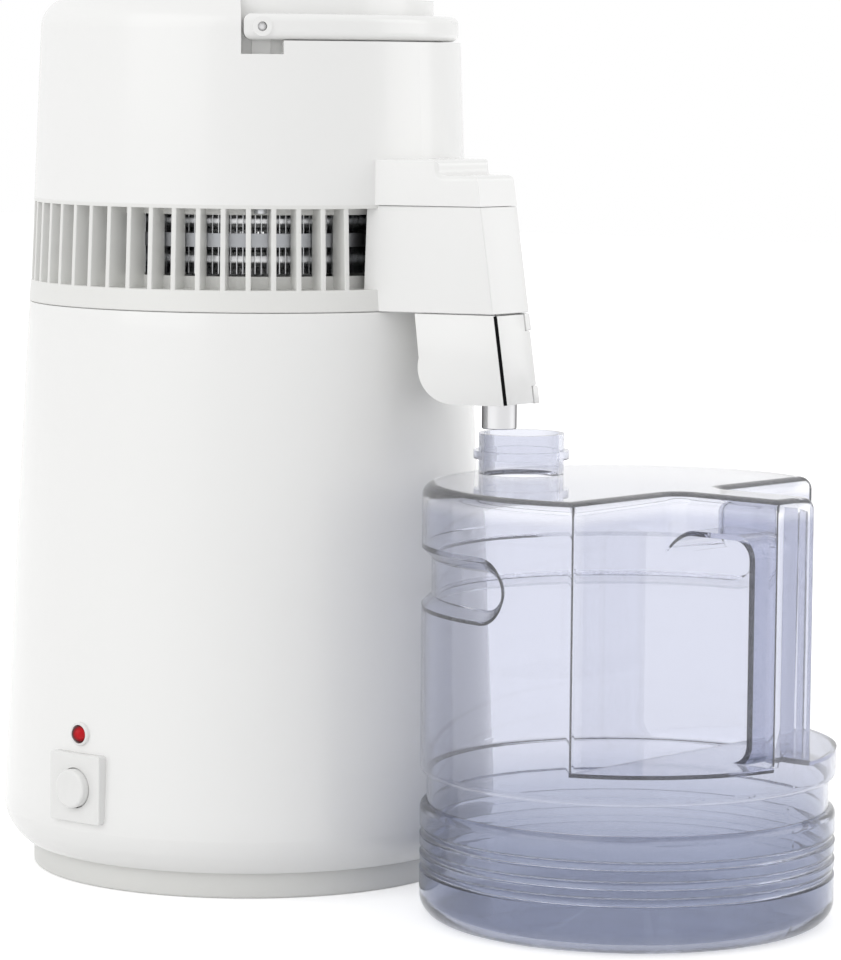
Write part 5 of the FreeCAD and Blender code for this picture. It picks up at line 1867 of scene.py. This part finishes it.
@dataclass
class Inside:
    """The tank, the pouch and the small fittings, most of them out of sight."""

    tank_radius: float = 90.0
    tank_low: float = 62.0
    tank_wall: float = 1.2
    tank_corner: float = 12.0
    flange_low: float = 250.5
    flange_reach: float = 95.0

    def tank(self, maker: Maker) -> None:
        """Make the tank.

        Args:
            maker: The maker.
        """
        corner = (self.tank_radius - self.tank_corner, self.tank_low + self.tank_corner)
        inner_round = self.tank_corner - self.tank_wall
        top = self.flange_low + self.tank_wall
        points = [(0.0, self.tank_low)] + arc(corner, self.tank_corner, -90, 0, 8)
        points += [(self.tank_radius, self.flange_low), (self.flange_reach, self.flange_low)]
        points += [(self.flange_reach, top), (self.tank_radius - self.tank_wall, top)]
        points += arc(corner, inner_round, 0, -90, 8) + [(0.0, self.tank_low + self.tank_wall)]
        made = maker.turned("boiling_tank", points, Finishes.STAINLESS, segments=192)
        maker.register(made, Body.BOILER, Slot.STAINLESS, "boil_tank")

    def build(self, maker: Maker) -> None:
        """Make every inner piece.

        Args:
            maker: The maker.
        """
        self.tank(maker)
        CharcoalPouch().build(maker)
        plain = [
            Moulding("pan_screws", Body.BOILER, Slot.ZINC, Finishes.ZINC),
            Moulding("heat_spreader", Body.BOILER, Slot.FINS, Finishes.FINS, 0.3),
            Moulding("heating_element", Body.BOILER, Slot.FINS, Finishes.STAINLESS),
            Moulding("heater_clamp", Body.BOILER, Slot.ZINC, Finishes.ZINC, 0.3),
            Moulding("clamp_nut", Body.BOILER, Slot.ZINC, Finishes.ZINC, 0.3),
            Moulding("control_thermostat", Body.BOILER, Slot.CERAMIC, Finishes.CERAMIC, 0.2),
            Moulding("safety_thermostat", Body.BOILER, Slot.CERAMIC, Finishes.CERAMIC, 0.2),
            Moulding("thermal_fuse", Body.BOILER, Slot.CERAMIC, Finishes.CERAMIC, 0.2),
            Moulding("terminal_block", Body.BOILER, Slot.CUP, Finishes.CUP, 0.3),
            Moulding("switch_body", Body.BOILER, Slot.DARK, Finishes.DARK, 0.3),
            Moulding("lamp_body", Body.BOILER, Slot.DARK, Finishes.DARK, 0.3),
            Moulding("boiler_inlet", Body.BOILER, Slot.DARK, Finishes.DARK, 0.35),
            Moulding("dome_gasket", Body.HEAD, Slot.SILICONE, Finishes.SILICONE, 0.3),
            Moulding("steam_dome", Body.HEAD, Slot.STAINLESS, Finishes.STAINLESS),
            Moulding("head_screws", Body.HEAD, Slot.ZINC, Finishes.ZINC, 0.2),
            Moulding("door_pin", Body.HEAD, Slot.ZINC, Finishes.ZINC),
            Moulding("filter_cup", Body.HEAD, Slot.CUP, Finishes.CUP, 0.2),
            Moulding("fan_rotor", Body.FAN, Slot.FAN, Finishes.FAN, 0.3),
            Moulding("fan_shaft", Body.FAN, Slot.STAINLESS, Finishes.STAINLESS),
            Moulding("fan_motor", Body.HEAD, Slot.MOTOR, Finishes.MOTOR),
            Moulding("motor_bracket", Body.HEAD, Slot.ZINC, Finishes.ZINC, 0.3),
            Moulding("bracket_screws", Body.HEAD, Slot.ZINC, Finishes.ZINC, 0.2),
        ]
        for moulding in plain:
            moulding.build(maker)


@dataclass
class TopCover:
    """The domed cover, its intake and inlet, and the carrying handle."""

    edge: float = 0.5

    def build(self, maker: Maker) -> None:
        """Make the cover.

        Args:
            maker: The maker.
        """
        Moulding("top_shell", Body.HEAD, Slot.HOUSING, Finishes.HOUSING).build(maker)
        Moulding("intake_grille", Body.HEAD, Slot.HOUSING, Finishes.HOUSING, self.edge).build(maker)
        Moulding("head_inlet", Body.HEAD, Slot.DARK, Finishes.DARK, self.edge).build(maker)
        Moulding("carry_handle", Body.HANDLE, Slot.HOUSING, Finishes.HOUSING).build(maker)
        Moulding("handle_pins", Body.HEAD, Slot.STAINLESS, Finishes.STAINLESS, 0.3).build(maker)


@dataclass
class Jug:
    """The clear one-piece collection jug."""

    def build(self, maker: Maker) -> None:
        """Make the jug."""
        Moulding("collection_jug", Body.JUG, Slot.JUG, Finishes.JUG).build(maker)


# --------------------------------------------------------------------------------------------------
# Studio


@dataclass(frozen=True)
class Lamp:
    """A soft rectangular lamp.

    Attributes:
        name: Its name.
        spot: Where it is, in metres.
        size: Its width and height.
        power: Its power, in watts.
        target: What it points at.
    """

    name: str
    spot: Point3
    size: Point2
    power: float
    target: Point3 = (0.05, 0.0, 0.2)

    def build(self) -> None:
        """Hang the lamp."""
        data = bpy.data.lights.new(self.name, "AREA")
        data.shape = "RECTANGLE"
        data.size, data.size_y = self.size
        data.energy = self.power
        made = bpy.data.objects.new(self.name, data)
        bpy.context.scene.collection.objects.link(made)
        made.location = self.spot
        made.rotation_mode = "QUATERNION"
        made.rotation_quaternion = (Vector(self.target) - Vector(self.spot)).to_track_quat("-Z", "Y")


@dataclass
class Studio:
    """Floor, surroundings, lamps and camera, in metres and degrees, with the lens in millimetres."""

    floor_half: float = 6.0
    floor_colour: Colour = (0.80, 0.80, 0.80)
    floor_roughness: float = 0.8
    floor_lift: float = 0.45
    sky: float = 0.82
    lamps: tuple[Lamp, ...] = (
        Lamp("key_lamp", (-0.3, -2.6, 1.5), (2.6, 2.2), 20.0),
        Lamp("fill_lamp", (1.9, 1.8, 1.1), (1.8, 1.8), 13.0),
    )
    camera_at: Point3 = (1.19808, -1.47746, 0.36512)
    heading: float = 38.0
    yaw: float = 1.328
    pitch: float = 5.687
    roll: float = 0.49
    lens: float = 156.24
    clip: Point2 = (0.1, 50.0)

    def floor(self) -> None:
        """Lay the floor, which shows white to the camera and keeps the shadows."""
        size = self.floor_half / MM
        corners = [(x * size, y * size, 0.0) for x, y in ((-1, -1), (1, -1), (1, 1), (-1, 1))]
        made = mesh_object("floor", corners, [(0, 1, 2, 3)])
        material = bpy.data.materials.new("studio_floor")
        sketch = clean_sketch(material)
        shader = sketch.add(
            "ShaderNodeBsdfPrincipled",
            {
                "Base Color": opaque(self.floor_colour),
                "Roughness": self.floor_roughness,
                "Emission Color": opaque(WHITE),
                "Emission Strength": sketch.math("MULTIPLY", self.seen(sketch), self.floor_lift),
            },
        )
        sketch.add("ShaderNodeOutputMaterial", {"Surface": shader.outputs[0]})
        made.data.materials.append(material)

    @staticmethod
    def seen(sketch: NodeSketch) -> bpy.types.NodeSocket:
        """Add a mask that is 1 for what the camera sees, straight or by way of metal and glass.

        Args:
            sketch: The sketch of the tree that it goes into.

        Returns:
            The mask.
        """
        path = sketch.add("ShaderNodeLightPath")
        straight = sketch.math("MAXIMUM", path.outputs["Is Camera Ray"], path.outputs["Is Glossy Ray"])
        return sketch.math("MAXIMUM", straight, path.outputs["Is Transmission Ray"])

    def surroundings(self) -> None:
        """Light the scene evenly from all round, with a white background."""
        world = bpy.data.worlds.new("studio")
        sketch = clean_sketch(world)
        strength = sketch.add(
            "ShaderNodeMapRange",
            {"Value": self.seen(sketch), "To Min": self.sky, "To Max": 1.0},
        ).outputs[0]
        ground = sketch.add("ShaderNodeBackground", {"Color": opaque(WHITE), "Strength": strength})
        sketch.add("ShaderNodeOutputWorld", {"Surface": ground.outputs[0]})
        bpy.context.scene.world = world

    def camera(self) -> None:
        """Set the camera."""
        data = bpy.data.cameras.new("camera")
        data.lens = self.lens
        data.clip_start, data.clip_end = self.clip
        made = bpy.data.objects.new("camera", data)
        bpy.context.scene.collection.objects.link(made)
        turn = math.radians(self.heading - self.yaw)
        drop = math.radians(self.pitch)
        along = Vector((-math.sin(turn) * math.cos(drop), math.cos(turn) * math.cos(drop), -math.sin(drop)))
        made.location = self.camera_at
        made.rotation_mode = "QUATERNION"
        tilt = Quaternion((0.0, 0.0, 1.0), math.radians(self.roll))
        made.rotation_quaternion = along.to_track_quat("-Z", "Y") @ tilt
        bpy.context.scene.camera = made

    def build(self) -> None:
        """Set up the studio."""
        self.floor()
        self.surroundings()
        for lamp in self.lamps:
            lamp.build()
        self.camera()
        bpy.context.scene.view_settings.view_transform = "Standard"


def main() -> None:
    """Build the distiller and its studio."""
    logging.basicConfig(level=logging.INFO, format="%(name)s: %(message)s")
    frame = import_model()
    LOG.info("%d nodes in the frame", len(frame["nodes"]))
    maker = Maker(ShapeTrees())
    for assembly in (BoilerHousing, ControlPanel, VentRing, Spout, Condenser, Inside, TopCover, Jug):
        LOG.info("building %s", assembly.__name__)
        assembly().build(maker)
    Studio().build()
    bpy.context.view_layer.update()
    LOG.info("%d pieces made", maker.count)


if __name__ == "__main__":
    main()
